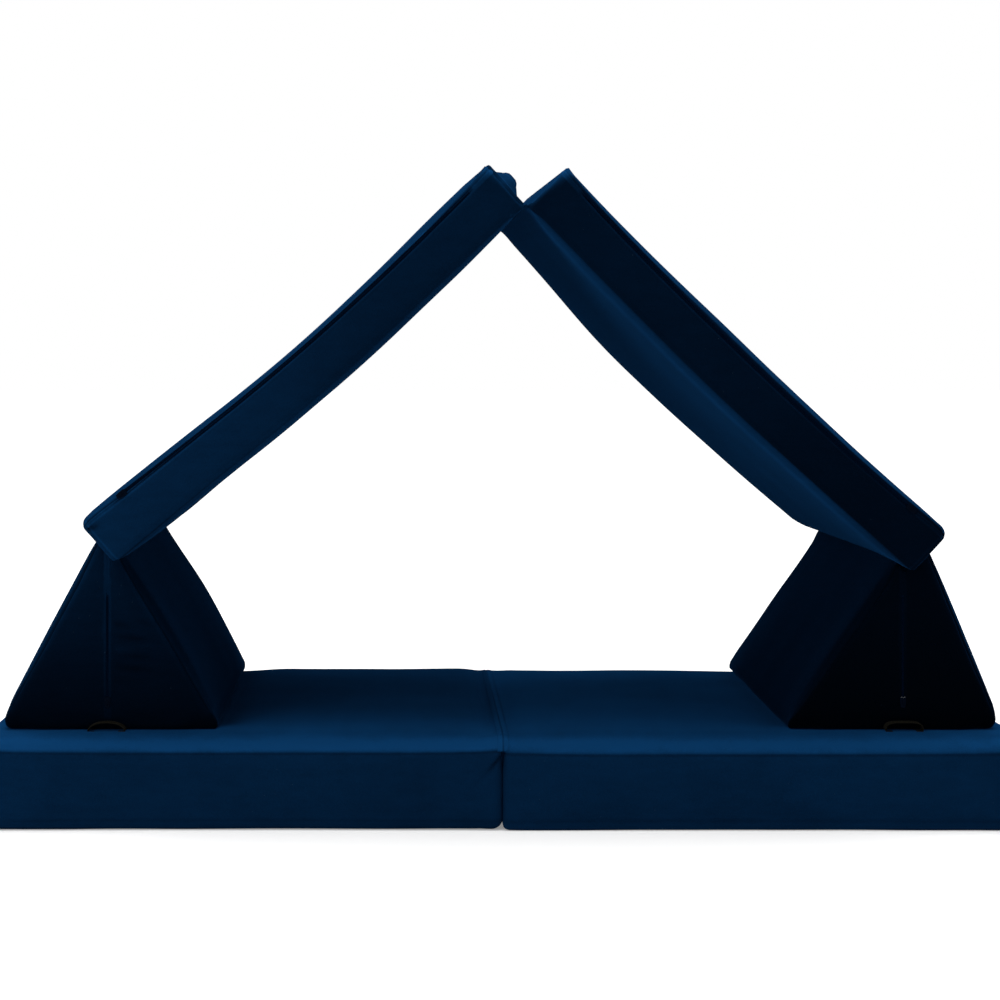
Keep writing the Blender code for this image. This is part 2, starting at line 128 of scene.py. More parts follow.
camera = bpy.data.objects.new("camera", bpy.data.cameras.new("camera"))
camera.location = CAMERA_PLACE
camera.rotation_euler = (math.pi / 2, 0, 0)
camera.data.lens = CAMERA_LENS_MM
camera.data.shift_x, camera.data.shift_y = CAMERA_SHIFT
bpy.context.scene.collection.objects.link(camera)
bpy.context.scene.camera = camera

# %% [markdown]
# ## Floor and light
# The sofa was photographed on white. A large pale floor under a broad soft box gives that, and it
# keeps the contact shadow. Rays that the camera, a gloss or a glass sends past the floor see plain
# white; every other ray sees a dimmer sky, so the room doesn't flood the dark cloth with light.

# %% Small helpers for node trees


def add_node(tree, kind, **settings):
    """A shader node with some of its settings filled in."""
    made = tree.nodes.new(kind)
    for name, value in settings.items():
        setattr(made, name, value)
    return made


def set_inputs(node, **values):
    """Sets sockets by name; an underscore stands for a space."""
    for name, value in values.items():
        node.inputs[name.replace("_", " ")].default_value = value
    return node


def multiply_add(tree, value, factor, offset):
    """value * factor + offset, as one Math node."""
    made = add_node(tree, "ShaderNodeMath", operation="MULTIPLY_ADD")
    tree.links.new(value, made.inputs[0])
    made.inputs[1].default_value = factor
    made.inputs[2].default_value = offset
    return made.outputs[0]


def combine(tree, operation, first, second):
    """Two values joined by one Math node; the second may be a number."""
    made = add_node(tree, "ShaderNodeMath", operation=operation)
    tree.links.new(first, made.inputs[0])
    if isinstance(second, (int, float)):
        made.inputs[1].default_value = second
    else:
        tree.links.new(second, made.inputs[1])
    return made.outputs[0]


def seen_directly(tree):
    """One for rays from the camera, a gloss or a glass, and nothing for the light that bounces."""
    path = add_node(tree, "ShaderNodeLightPath")
    clear = combine(tree, "MAXIMUM", path.outputs["Is Glossy Ray"],
                    path.outputs["Is Transmission Ray"])
    return combine(tree, "MAXIMUM", path.outputs["Is Camera Ray"], clear)


# %% Floor and sky
bpy.context.scene.view_settings.view_transform = "Standard"
FLOOR_HALF = 30.0
FLOOR_DROP = 0.0004
FLOOR_WHITE = (0.88, 0.88, 0.88, 1.0)
FLOOR_GLOW = 0.25
FLOOR_FAR_GLOW = 0.80
FLOOR_NEAR = 1.2
FLOOR_FAR = 3.5
SKY_STRENGTH = 0.42
WHITE = (1.0, 1.0, 1.0, 1.0)

floor_mesh = bpy.data.meshes.new("floor")
floor_corners = [(FLOOR_HALF * right, FLOOR_HALF * back, -FLOOR_DROP)
                 for right, back in ((-1, -1), (1, -1), (1, 1), (-1, 1))]
floor_mesh.from_pydata(floor_corners, [], [(0, 1, 2, 3)])
floor = bpy.data.objects.new("floor", floor_mesh)
bpy.context.scene.collection.objects.link(floor)
floor_paint = bpy.data.materials.new("pale floor")
floor_paint.use_nodes = True
floor_tree = floor_paint.node_tree
floor_shader = floor_tree.nodes["Principled BSDF"]
set_inputs(floor_shader, Base_Color=FLOOR_WHITE, Roughness=1.0, Specular_IOR_Level=0.0)
floor_place = add_node(floor_tree, "ShaderNodeNewGeometry").outputs["Position"]
floor_radius = add_node(floor_tree, "ShaderNodeVectorMath", operation="LENGTH")
floor_tree.links.new(floor_place, floor_radius.inputs[0])
far_share = add_node(floor_tree, "ShaderNodeMapRange", interpolation_type="SMOOTHSTEP")
floor_tree.links.new(floor_radius.outputs["Value"], far_share.inputs["Value"])
set_inputs(far_share, From_Min=FLOOR_NEAR, From_Max=FLOOR_FAR, To_Min=FLOOR_GLOW,
           To_Max=FLOOR_FAR_GLOW)
floor_glow = combine(floor_tree, "MULTIPLY", far_share.outputs[0], seen_directly(floor_tree))
glow_colour = add_node(floor_tree, "ShaderNodeCombineColor")
for channel in range(3):
    floor_tree.links.new(floor_glow, glow_colour.inputs[channel])
floor_tree.links.new(glow_colour.outputs[0], floor_shader.inputs["Emission Color"])
set_inputs(floor_shader, Emission_Strength=1.0)
floor_mesh.materials.append(floor_paint)

sky = bpy.data.worlds.new("sky")
bpy.context.scene.world = sky
sky.use_nodes = True
sky_tree = sky.node_tree
strength = multiply_add(sky_tree, seen_directly(sky_tree), 1 - SKY_STRENGTH, SKY_STRENGTH)
backdrop = sky_tree.nodes["Background"]
set_inputs(backdrop, Color=WHITE)
sky_tree.links.new(strength, backdrop.inputs["Strength"])

# %% Soft boxes


def soft_box(name, place, target, width, height, power):
    """A rectangular area light turned towards a point."""
    lamp = bpy.data.lights.new(name, "AREA")
    lamp.shape = "RECTANGLE"
    lamp.size, lamp.size_y = width, height
    lamp.energy = power
    thing = bpy.data.objects.new(name, lamp)
    thing.location = place
    thing.rotation_mode = "QUATERNION"
    thing.rotation_quaternion = (Vector(target) - Vector(place)).to_track_quat("-Z", "Y")
    bpy.context.scene.collection.objects.link(thing)


soft_box("overhead box", place=(0.0, 0.2, 3.4), target=(0.0, 0.0, 0.3), width=4.0, height=3.0,
         power=150)
soft_box("left box", place=(-2.6, -2.8, 1.9), target=(-0.2, 0.0, 0.4), width=1.8, height=1.8,
         power=45)
soft_box("right box", place=(3.0, -2.4, 1.6), target=(0.2, 0.0, 0.4), width=1.6, height=1.6,
         power=12)

# %% [markdown]
# ## Effects that several finishes share
# Pile, woven threads, worn edges with painted highlights, painted shade in seams and lint appear
# on more than one piece. Each is a node group that puts out plain values, so a material can mix
# them in its own way. The covers carry three painted values on their points: a tone, set panel by
# panel and along each panel, partly for the way the pile lies and partly as painted light and
# shade; painted shade in seams, creases, folds and tucks; and a lightening of edges, partly wear
# where hands brush and partly painted highlights on bends, seam edges, tabs and the zips' lips.
# They come from the geometry, so they hold from every side.

# %% The start of a node group


def start_group(name, inputs, outputs):
    """An empty group with plain value sockets, and its two end nodes."""
    group = bpy.data.node_groups.new(name, "ShaderNodeTree")
    for socket, value in inputs.items():
        made = group.interface.new_socket(socket, in_out="INPUT", socket_type="NodeSocketFloat")
        made.default_value = value
    for socket in outputs:
        group.interface.new_socket(socket, in_out="OUTPUT", socket_type="NodeSocketFloat")
    return group, add_node(group, "NodeGroupInput"), add_node(group, "NodeGroupOutput")


def place_group(tree, group, **values):
    """The group in a material's tree, with the material's own values."""
    made = add_node(tree, "ShaderNodeGroup", node_tree=group)
    return set_inputs(made, **values)


def noise_texture(tree, scale, detail, stretch=(1.0, 1.0, 1.0)):
    """Noise over the piece's own shape, stretched along the axes."""
    where = add_node(tree, "ShaderNodeTexCoord")
    scaled = add_node(tree, "ShaderNodeVectorMath", operation="MULTIPLY")
    tree.links.new(where.outputs["Object"], scaled.inputs[0])
    scaled.inputs[1].default_value = stretch
    made = add_node(tree, "ShaderNodeTexNoise")
    tree.links.new(scaled.outputs[0], made.inputs["Vector"])
    set_inputs(made, Detail=detail)
    if isinstance(scale, (int, float)):
        set_inputs(made, Scale=scale)
    else:
        tree.links.new(scale, made.inputs["Scale"])
    return made.outputs["Fac"]


# %% Brushed pile
# Tone is 1 on average: soft patches where the pile was stroked, fine streaks and single tufts.
PILE_STREAK_STRETCH = (0.8, 0.25, 2.4)

pile_group, pile_in, pile_out = start_group(
    "brushed pile",
    {"Patch Scale": 6.0, "Patch Strength": 0.3, "Streak Strength": 0.15, "Tuft Scale": 700.0,
     "Tuft Strength": 0.2},
    ["Tone", "Height"])
patches = noise_texture(pile_group, pile_in.outputs["Patch Scale"], detail=3.0)
streaks = noise_texture(pile_group, scale=34.0, detail=2.0, stretch=PILE_STREAK_STRETCH)
tufts = noise_texture(pile_group, pile_in.outputs["Tuft Scale"], detail=2.0)
tone = None
for source, strength_name in ((patches, "Patch Strength"), (streaks, "Streak Strength"),
                              (tufts, "Tuft Strength")):
    centred = multiply_add(pile_group, source, 2.0, -1.0)
    share = combine(pile_group, "MULTIPLY", centred, pile_in.outputs[strength_name])
    tone = share if tone is None else combine(pile_group, "ADD", tone, share)
pile_group.links.new(combine(pile_group, "ADD", tone, 1.0), pile_out.inputs["Tone"])
pile_group.links.new(tufts, pile_out.inputs["Height"])

# %% Plain weave
# Threads over and under each other; along and across come from the strap's own points, in metres.
weave_group, weave_in, weave_out = start_group(
    "plain weave", {"Along": 0.0, "Across": 0.0, "Threads Per Metre": 1200.0}, ["Height"])
waves = []
for direction in ("Along", "Across"):
    turns = combine(weave_group, "MULTIPLY", weave_in.outputs[direction],
                    weave_in.outputs["Threads Per Metre"])
    waves.append(combine(weave_group, "SINE", multiply_add(weave_group, turns, math.pi, 0.0), 0.0))
crossing_threads = combine(weave_group, "MULTIPLY", waves[0], waves[1])
weave_group.links.new(multiply_add(weave_group, crossing_threads, 0.5, 0.5),
                      weave_out.inputs["Height"])

# %% Worn edges with painted highlights, and painted shade in seams
LEAST_GAIN = 0.1

# lightens with wear and painted highlights, and darkens with painted shade in seams and creases
wear_and_light_group, wear_and_light_in, wear_and_light_out = start_group(
    "wear, highlight and shade", {"Wear And Highlight": 0.0, "Seam": 0.0}, ["Gain"])
broken = noise_texture(wear_and_light_group, scale=60.0, detail=3.0)
worn_and_lit = combine(wear_and_light_group, "MULTIPLY", wear_and_light_in.outputs["Wear And Highlight"],
                 multiply_add(wear_and_light_group, broken, factor=1.0, offset=0.5))
shaded = combine(wear_and_light_group, "MULTIPLY", wear_and_light_in.outputs["Seam"],
                 multiply_add(wear_and_light_group, broken, factor=-0.4, offset=1.0))
gain = combine(wear_and_light_group, "SUBTRACT", combine(wear_and_light_group, "ADD", worn_and_lit, 1.0), shaded)
wear_and_light_group.links.new(combine(wear_and_light_group, "MAXIMUM", gain, LEAST_GAIN), wear_and_light_out.inputs["Gain"])

# %% Lint
# A few pale fibres that cling to dark pile: the cores of sparse Voronoi cells.
LINT_ABOVE = 0.58

lint_group, lint_in, lint_out = start_group("lint", {"Scale": 90.0, "Size": 0.035}, ["Mask"])
lint_where = add_node(lint_group, "ShaderNodeTexCoord")
lint_cells = add_node(lint_group, "ShaderNodeTexVoronoi")
lint_group.links.new(lint_where.outputs["Object"], lint_cells.inputs["Vector"])
lint_group.links.new(lint_in.outputs["Scale"], lint_cells.inputs["Scale"])
lint_spots = combine(lint_group, "LESS_THAN", lint_cells.outputs["Distance"],
                     lint_in.outputs["Size"])
lint_few = combine(lint_group, "GREATER_THAN", noise_texture(lint_group, scale=7.0, detail=1.0),
                   LINT_ABOVE)
lint_group.links.new(combine(lint_group, "MULTIPLY", lint_spots, lint_few),
                     lint_out.inputs["Mask"])

# %% [markdown]
# ## The finishes
# Velour is a dark cloth with a soft glow where it turns away from the eye, because the pile's tips
# catch the light there. The sheen of the shader gives that glow. The cloth's own colour could be an
# image, but noise gives patches and tufts at any distance, and it needs no unfolding of the mesh.

# %% A material's first nodes


def start_finish(name):
    """A new material, its tree and its Principled shader."""
    made = bpy.data.materials.new(name)
    made.use_nodes = True
    return made, made.node_tree, made.node_tree.nodes["Principled BSDF"]


def painted_value(tree, name):
    """A value that a piece carries on its points."""
    return add_node(tree, "ShaderNodeAttribute", attribute_name=name).outputs["Fac"]


# the Mix node's sockets for colours
MIX_FIRST = 6
MIX_SECOND = 7
MIX_RESULT = 2


def mix_colours(tree, factor, first, second):
    """A blend of two colours; each is four numbers or a socket."""
    made = add_node(tree, "ShaderNodeMix", data_type="RGBA")
    tree.links.new(factor, made.inputs[0])
    for socket, colour in ((made.inputs[MIX_FIRST], first), (made.inputs[MIX_SECOND], second)):
        if isinstance(colour, tuple):
            socket.default_value = colour
        else:
            tree.links.new(colour, socket)
    return made.outputs[MIX_RESULT]


def add_bump(tree, shader, height, strength, distance):
    """A Bump node between a height and the shader's normal."""
    made = add_node(tree, "ShaderNodeBump")
    set_inputs(made, Strength=strength, Distance=distance)
    tree.links.new(height, made.inputs["Height"])
    tree.links.new(made.outputs[0], shader.inputs["Normal"])


# %% Navy velour
VELOUR_DEEP = (0.0003, 0.0008, 0.0016, 1.0)
VELOUR_BRIGHT = (0.0032, 0.0360, 0.1130, 1.0)
VELOUR_LINT = (0.060, 0.085, 0.130, 1.0)
VELOUR_SHEEN_TINT = (0.04, 0.33, 1.0, 1.0)
VELOUR_FULL = 3
LINT_SHARE = 0.5

velour, velour_tree, velour_shader = start_finish("navy velour")
pile = place_group(velour_tree, pile_group, Patch_Scale=5.0, Patch_Strength=0.32,
                   Streak_Strength=0.16, Tuft_Scale=650.0, Tuft_Strength=0.28)
wear_and_light = place_group(velour_tree, wear_and_light_group)
velour_tree.links.new(painted_value(velour_tree, "wear_and_highlight"), wear_and_light.inputs["Wear And Highlight"])
velour_tree.links.new(painted_value(velour_tree, "seam"), wear_and_light.inputs["Seam"])
# the cloth's colour is scaled by the painted tone, which is partly painted light and shade, then
# darkened by painted shade in seams and creases and lightened by wear and painted highlights
tone = combine(velour_tree, "MULTIPLY", painted_value(velour_tree, "nap_and_painted_light"), pile.outputs["Tone"])
tone = combine(velour_tree, "MULTIPLY", tone, wear_and_light.outputs["Gain"])
cloth_colour = mix_colours(velour_tree, multiply_add(velour_tree, tone, 1 / VELOUR_FULL, 0.0),
                           VELOUR_DEEP, VELOUR_BRIGHT)
lint = place_group(velour_tree, lint_group)
lint_share = multiply_add(velour_tree, lint.outputs["Mask"], LINT_SHARE, 0.0)
velour_tree.links.new(mix_colours(velour_tree, lint_share, cloth_colour, VELOUR_LINT),
                      velour_shader.inputs["Base Color"])
velour_tree.links.new(multiply_add(velour_tree, pile.outputs["Tone"], factor=-0.12, offset=0.80),
                      velour_shader.inputs["Roughness"])
set_inputs(velour_shader, Sheen_Weight=0.09, Sheen_Roughness=0.35, Sheen_Tint=VELOUR_SHEEN_TINT,
           Specular_IOR_Level=0.0)
add_bump(velour_tree, velour_shader, pile.outputs["Height"], strength=0.35, distance=0.0006)

# %% [markdown]
# ## How a cover is modelled
# Each cover starts as the six sides of a block, cut into one closed grid. Rounding moves the grid's
# points from the sharp block on to arcs, and a different radius can be used at the top, the foot
# and the fold. A bevelled cube would be quicker, but its long faces would have no points to sag,
# swell or crease. The grid's lines are set closer near the edges and at each seam.

# %% Soft curves on arrays


def smooth(share):
    """An even rise from 0 to 1."""
    share = np.clip(share, 0.0, 1.0)
    return share * share * (3 - 2 * share)


def rising(value, start, length):
    """From 0 at the start to 1 a length further on."""
    return smooth((value - start) / length)


def falling(value, start, length):
    """From 1 at the start to 0 a length further on."""
    return 1 - rising(value, start, length)


def arch(share):
    """One at the middle of a span and nothing at its ends."""
    return 1 - (2 * share - 1) ** 2


def swell(share):
    """A soft bump that leaves both ends of its span level."""
    return np.sin(np.pi * np.clip(share, 0.0, 1.0)) ** 2


def ridge(distance, width):
    """A rounded ridge, one at its line."""
    return np.exp(-(distance / width) ** 2)


def field(places, scale, seed):
    """Smooth noise at each place, about -1 to 1; the scale may differ by axis."""
    stretched = places * np.array(scale) + seed
    return np.array([noise.noise(Vector(place)) for place in stretched])


# %% The grid of a block
FLAT_STEP = 0.009
EDGE_STEP = 0.0045
EDGE_ZONE = 0.036
LEAST_STEP = 0.0007
SEAM_LINES = (-0.0055, -0.0022, 0.0, 0.0022, 0.0055)
SLIT_LINES = (-0.0055, -0.0036, -0.0024, -0.0017, -0.001, 0.0, 0.001, 0.0017, 0.0024, 0.0036,
              0.0055)
LINE_SAMPLES = 240


def grid_lines(low, high, seams=(), slits=()):
    """The places of the grid's lines along one axis, closer at the ends, seams and slits."""
    wanted = [slit + offset for slit in slits for offset in SLIT_LINES]
    wanted += [seam + offset for seam in seams for offset in SEAM_LINES]
    fixed = [low, high]
    for line in wanted:
        if low < line < high and min(abs(line - other) for other in fixed) > LEAST_STEP:
            fixed.append(line)
    fixed.sort()
    lines = [low]
    for start, end in zip(fixed, fixed[1:]):
        fine = np.linspace(start, end, LINE_SAMPLES)
        near_end = np.minimum(fine - low, high - fine) < EDGE_ZONE
        step = np.where(near_end, EDGE_STEP, FLAT_STEP)
        cells = np.concatenate(([0.0], np.cumsum(np.diff(fine) / step[1:])))
        count = max(1, round(cells[-1]))
        lines.extend(np.interp(np.arange(1, count + 1) / count * cells[-1], cells, fine))
    return lines


def block_grid(lines):
    """The six sides of a block as one closed grid: its places and its quads, facing out."""
    index = {}
    places = []
    quads = []

    def corner(key):
        if key not in index:
            index[key] = len(places)
            places.append([lines[axis][step] for axis, step in enumerate(key)])
        return index[key]

    for axis in range(3):
        second, third = (axis + 1) % 3, (axis + 2) % 3
        for level in (0, len(lines[axis]) - 1):
            for i in range(len(lines[second]) - 1):
                for j in range(len(lines[third]) - 1):
                    ring = []
                    for more_i, more_j in ((0, 0), (1, 0), (1, 1), (0, 1)):
                        key = [level] * 3
                        key[second], key[third] = i + more_i, j + more_j
                        ring.append(corner(tuple(key)))
                    quads.append(ring if level else ring[::-1])
    return np.array(places), np.array(quads)


def rounded(places, low, high, radii):
    """The sharp block's points moved on to arcs of the given radii, one triple for each point."""
    inner = np.clip(places, np.array(low) + radii, np.array(high) - radii)
    away = (places - inner) / radii
    away /= np.linalg.norm(away, axis=1, keepdims=True)
    return inner + away * radii


def outward(points, quads):
    """The direction out of the surface at each point."""
    corners = points[quads]
    facing = np.cross(corners[:, 2] - corners[:, 0], corners[:, 3] - corners[:, 1])
    total = np.zeros_like(points)
    for turn in range(4):
        np.add.at(total, quads[:, turn], facing)
    return total / np.linalg.norm(total, axis=1, keepdims=True)


def facing_out(quads, side):
    """The same quads; on the left they run the other way round, because the block is mirrored."""
    return quads if side > 0 else quads[:, ::-1]


def relaxed(values, quads, passes):
    """Values on the grid's points, evened out with their neighbours'."""
    pairs = np.concatenate([quads[:, [turn, (turn + 1) % 4]] for turn in range(4)])
    pairs = np.unique(np.sort(pairs, axis=1), axis=0)
    degree = np.bincount(pairs.ravel(), minlength=len(values))[:, None]
    for _ in range(passes):
        total = np.zeros_like(values)
        np.add.at(total, pairs[:, 0], values[pairs[:, 1]])
        np.add.at(total, pairs[:, 1], values[pairs[:, 0]])
        values = (values + total / degree) / 2
    return values


# %% [markdown]
# ## The cloth
# A sewn cover is a little larger than its foam, and it puckers where flat cloth has to turn a
# corner. That could be carved by hand, but cloth simulation finds the puckers by itself: an evenly
# meshed copy of the block is blown up for a few frames, and how far it moved, capped to a few
# millimetres, is carried over to the fine grid. The block starts a little smaller to leave room.

# %% Blow up a copy and carry its movement over
CLOTH_VOXEL = 0.010
CLOTH_FRAMES = 7
CLOTH_PRESSURE = 4.0
CLOTH_SLACK = -0.012
CLOTH_MASS = 0.3
CLOTH_STIFFNESS = 15.0
CLOTH_BENDING = 1.5
CLOTH_LIMIT = 0.007
CLOTH_SHRUNK = 0.0025
CLOTH_PASSES = 3
NEAR = 1e-4
HELD_REACH = 0.035


def mesh_points(mesh):
    """The places of a mesh's points, one row for each."""
    flat = np.empty(len(mesh.vertices) * 3, np.float32)
    mesh.vertices.foreach_get("co", flat)
    return flat.reshape(-1, 3).astype(float)


def blown_up(name, points, quads):
    """How far each point of a cover moves when cloth of its shape is blown up."""
    scene = bpy.context.scene
    sharp = bpy.data.meshes.new(name)
    sharp.from_pydata(points.tolist(), [], quads.tolist())
    block = bpy.data.objects.new(name, sharp)
    scene.collection.objects.link(block)
    evened = block.modifiers.new("even cells", "REMESH")
    evened.mode = "VOXEL"
    evened.voxel_size = CLOTH_VOXEL
    view = bpy.context.evaluated_depsgraph_get()
    even = bpy.data.meshes.new_from_object(block.evaluated_get(view))
    bpy.data.objects.remove(block)
    cloth = bpy.data.objects.new(name, even)
    scene.collection.objects.link(cloth)
    rest = mesh_points(even)
    settings = cloth.modifiers.new("blow up", "CLOTH").settings
    settings.use_pressure = True
    settings.uniform_pressure_force = CLOTH_PRESSURE
    settings.effector_weights.gravity = 0.0
    settings.shrink_min = CLOTH_SLACK
    settings.mass = CLOTH_MASS
    settings.tension_stiffness = settings.compression_stiffness = CLOTH_STIFFNESS
    settings.bending_stiffness = CLOTH_BENDING
    for step in range(1, CLOTH_FRAMES + 1):
        scene.frame_set(step)
    view = bpy.context.evaluated_depsgraph_get()
    moved = mesh_points(cloth.evaluated_get(view).data) - rest
    length = np.linalg.norm(moved, axis=1, keepdims=True)
    moved *= CLOTH_LIMIT / (CLOTH_LIMIT + length)
    rings = [list(polygon.vertices) for polygon in even.polygons]
    lookup = BVHTree.FromPolygons(rest.tolist(), rings)
    carried = np.empty_like(points)
    for number, point in enumerate(points):
        ring = rings[lookup.find_nearest(Vector(point))[2]]
        weights = 1 / (np.linalg.norm(rest[ring] - point, axis=1) + NEAR)
        carried[number] = weights @ moved[ring] / weights.sum()
    bpy.data.objects.remove(cloth)
    scene.frame_set(1)
    print(name, "moves up to", round(float(np.linalg.norm(carried, axis=1).max()), 4))
    return relaxed(carried, quads, CLOTH_PASSES)


def held_at_foot(height):
    """One on the face that the block stands on, fading a little above it."""
    return falling(height, 0, HELD_REACH)


def drawn_over(name, points, quads, held):
    """The cover's points after the cloth is drawn over the foam; held points stay in place."""
    shrunk = CLOTH_SHRUNK
    moved = blown_up(name, points, quads) - outward(points, quads) * shrunk
    return points + moved * (1 - held)[:, None]


# %% Turn the grid into a piece


def add_piece(name, points, quads, finish, body, painted=None):
    """A smooth mesh that rides on a body, if one is named, and carries the given finish."""
    mesh = bpy.data.meshes.new(name)
    mesh.from_pydata(np.asarray(points).tolist(), [], [list(ring) for ring in quads])
    for layer, values in (painted or {}).items():
        mesh.attributes.new(layer, "FLOAT", "POINT").data.foreach_set(
            "value", np.asarray(values, np.float32))
    mesh.materials.append(finish)
    mesh.shade_smooth()
    mesh.update()
    piece = bpy.data.objects.new(name, mesh)
    bpy.context.scene.collection.objects.link(piece)
    if body:
        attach(piece, body)
    print(name, len(mesh.vertices), "points")
    return piece


# %% [markdown]
# ## The seams
# The top panel of a cover meets its side band in a plain seam: the cloth dips along it, and small
# puckers run off it where the stitches gather the cloth.

# %% A seam's dip and its puckers
SEAM_DEPTH = 0.0016
SEAM_WIDTH = 0.0028
PUCKER_HEIGHT = 0.0010
PUCKER_REACH = 0.014
BAND_PUCKER_SCALE = (38, 38, 9)
CORNER_PUCKER = 0.0016
CORNER_REACH = 0.030
CORNER_SCALE = (55, 55, 40)
WAVE_SCALE = 7.0
SHARP_STEP = (-0.001, 0.002)         # where a change of tone starts, and its length
TINY = 1e-6


def seam_dip(distance):
    """How far the cloth lies below the panels, at a distance from a seam."""
    return -SEAM_DEPTH * ridge(distance, SEAM_WIDTH)


def seam_puckers(places, distance, scale, seed):
    """Small ridges that run off a seam; the scale is fine along it and coarse across."""
    return PUCKER_HEIGHT * field(places, scale, seed) * np.exp(-np.abs(distance) / PUCKER_REACH)


def corner_puckers(places, low, high, seed):
    """Short folds where three panels meet and the cloth is gathered."""
    gaps = np.minimum(places - np.array(low), np.array(high) - places)
    off_corner = np.linalg.norm(gaps, axis=1)
    return CORNER_PUCKER * field(places, CORNER_SCALE, seed) * np.exp(-off_corner / CORNER_REACH)


def seam_shade(wall, heights, seams, shares, more):
    """Painted shade in the seams of a mat's wall, added to the other painted shade."""
    return sum((share * wall * ridge(heights - seam, SEAM_WIDTH)
                for seam, share in zip(seams, shares)), more)


# %% [markdown]
# ## Where a zip opens a cover
# Each cover has a long zip, half hidden between two lips of cloth. The cloth lies flat beside the
# teeth, so near the zip the cover is drawn to the zip's plane, and along the middle it drops behind
# the tape. The opening could be cut with a Boolean, but then its rim would be a hard edge.

# %% Draw a cover to its zip
ZIP_TAPE_RECESS = 0.0010
ZIP_LIP_LOW = 0.0008
ZIP_LIP_HIGH = 0.0014
ZIP_OPEN_DEPTH = -0.0012
ZIP_OPEN_HALF = 0.0010
ZIP_OPEN_EDGE = 0.0011
ZIP_END_FADE = 0.003
WIDE_FLAT = (0.008, 0.03)
NARROW_FLAT = (0.0028, 0.004)


def open_for_zip(heights, off_line, past_end, flat_half, flat_fade):
    """Heights above the zip's tape, drawn flat near the zip and opened along its middle."""
    reach = np.hypot(off_line, np.maximum(past_end, 0.0))
    near = falling(reach, flat_half, flat_fade)
    drawn = heights + (np.clip(heights, ZIP_LIP_LOW, ZIP_LIP_HIGH) - heights) * near
    opened = falling(np.abs(off_line), ZIP_OPEN_HALF, ZIP_OPEN_EDGE)
    opened *= falling(past_end, -ZIP_END_FADE, ZIP_END_FADE)
    return drawn + (ZIP_OPEN_DEPTH - drawn) * opened


PLACKET_HALF = 0.0055
PLACKET_GROOVE = 0.0010
PLACKET_GROOVE_WIDTH = 0.0013
PLACKET_LIP = 0.0004


def placket(off_line, past_end):
    """The stitch line on each side of a zip, and the lips that stand between them."""
    off_line = np.abs(off_line)
    along = falling(past_end, 0, ZIP_END_FADE)
    groove = PLACKET_GROOVE * ridge(off_line - PLACKET_HALF, PLACKET_GROOVE_WIDTH)
    return along * (PLACKET_LIP * ridge(off_line - PLACKET_HALF / 2, PLACKET_GROOVE_WIDTH) - groove)


# %% [markdown]
# ## The thick mat
# Two halves of one folding mat lie open on the floor. Each is a 140 mm foam block in a zipped
# cover: a broad bend along the top edge, a tighter one at the fold, and a side band between two
# seams. The left half is the puffier one in the photograph: its foot is rounder, and its back edge
# stands a little higher until just before the fold.

# %% How round the thick mat's cover is
BASE_TOP_ROUND = 0.029
BASE_CORNER_ROUND = 0.028
BASE_FOLD_PRESSED = 0.0004
BASE_FOLD_TOP_PLAN_ROUND = 0.004
BASE_FOLD_TOP_ROUND = 0.0035
BASE_FOLD_REACH = 0.06
BASE_SIDE_REACH = 0.05
BASE_TOP_FROM = (-0.045, 0.025)
BASE_LOW = (-BASE_FOLD_PRESSED, -BASE_DEPTH / 2, 0.0)
BASE_HIGH = (BASE_LENGTH, BASE_DEPTH / 2, BASE_THICK)


def base_radii(places, low_round, fold_low_round, fold_plan_round):
    """How round the block is at each of its points: across, deep and high."""
    x, y, z = places.T
    near_fold = falling(x, 0, BASE_FOLD_REACH)
    near_side = falling(BASE_DEPTH / 2 - np.abs(y), BASE_TOP_ROUND, BASE_SIDE_REACH)
    high = rising(z - BASE_THICK, -2 * BASE_TOP_ROUND, BASE_TOP_ROUND)
    low = rising(2 * low_round - z, 0, low_round)
    upright = BASE_CORNER_ROUND + (fold_plan_round - BASE_CORNER_ROUND) * near_fold
    near_fold_round = BASE_FOLD_TOP_ROUND + (BASE_TOP_ROUND - BASE_FOLD_TOP_ROUND) * near_side
    deep = upright + (BASE_TOP_ROUND - upright) * high + (low_round - upright) * low
    outer = BASE_CORNER_ROUND + (low_round - BASE_CORNER_ROUND) * low
    top_share = rising(z - BASE_THICK, *BASE_TOP_FROM)
    fold_plan = fold_plan_round + (BASE_FOLD_TOP_PLAN_ROUND - fold_plan_round) * top_share
    across = np.where(x < BASE_LENGTH / 2, fold_plan, outer)
    at_fold = x < fold_plan_round
    fold_foot = fold_low_round + (low_round - fold_low_round) * near_side
    tall = np.where(z > BASE_THICK / 2, np.where(at_fold, near_fold_round, BASE_TOP_ROUND),
                    np.where(at_fold, fold_foot, low_round))
    return np.stack([across, deep, tall], axis=1)


# %% Where the thick mat's cover lies
BASE_RISES_OVER = 0.05
BASE_LIFT_ENDS_OVER = 0.08


def base_free_top(side):
    """The bolster's middle and the free length of the top, both from the fold."""
    bolster_x = BOLSTER_RIGHT_X if side > 0 else -BOLSTER_LEFT_X
    return bolster_x, bolster_x - BOLSTER_WIDTH / 2


def place_on_base(points, side, raised=0.0):
    """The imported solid's own form: sides drawn in, and a crown on the free top."""
    x, y, z = np.array(points).T
    _, free_top = base_free_top(side)
    along, across = x / BASE_LENGTH, y / BASE_DEPTH + 0.5
    tall = np.clip(z / BASE_THICK, 0, 1)
    crown = BASE_CROWN * swell(x / free_top) * np.sqrt(swell(across))
    back_lift = raised * rising(x, 0, BASE_RISES_OVER)
    back_lift = back_lift * falling(x - free_top, -BASE_LIFT_ENDS_OVER, BASE_LIFT_ENDS_OVER)
    top = z + np.maximum(crown, back_lift * np.clip(across, 0, 1)) * tall ** 2
    drawn_in = BASE_DRAWN_IN * arch(across) * np.maximum(2 * along - 1, 0) ** 3
    return np.stack([side * (x - drawn_in),
                     y * (1 - BASE_DRAWN_IN * arch(along) / (BASE_DEPTH / 2)), top], axis=1)


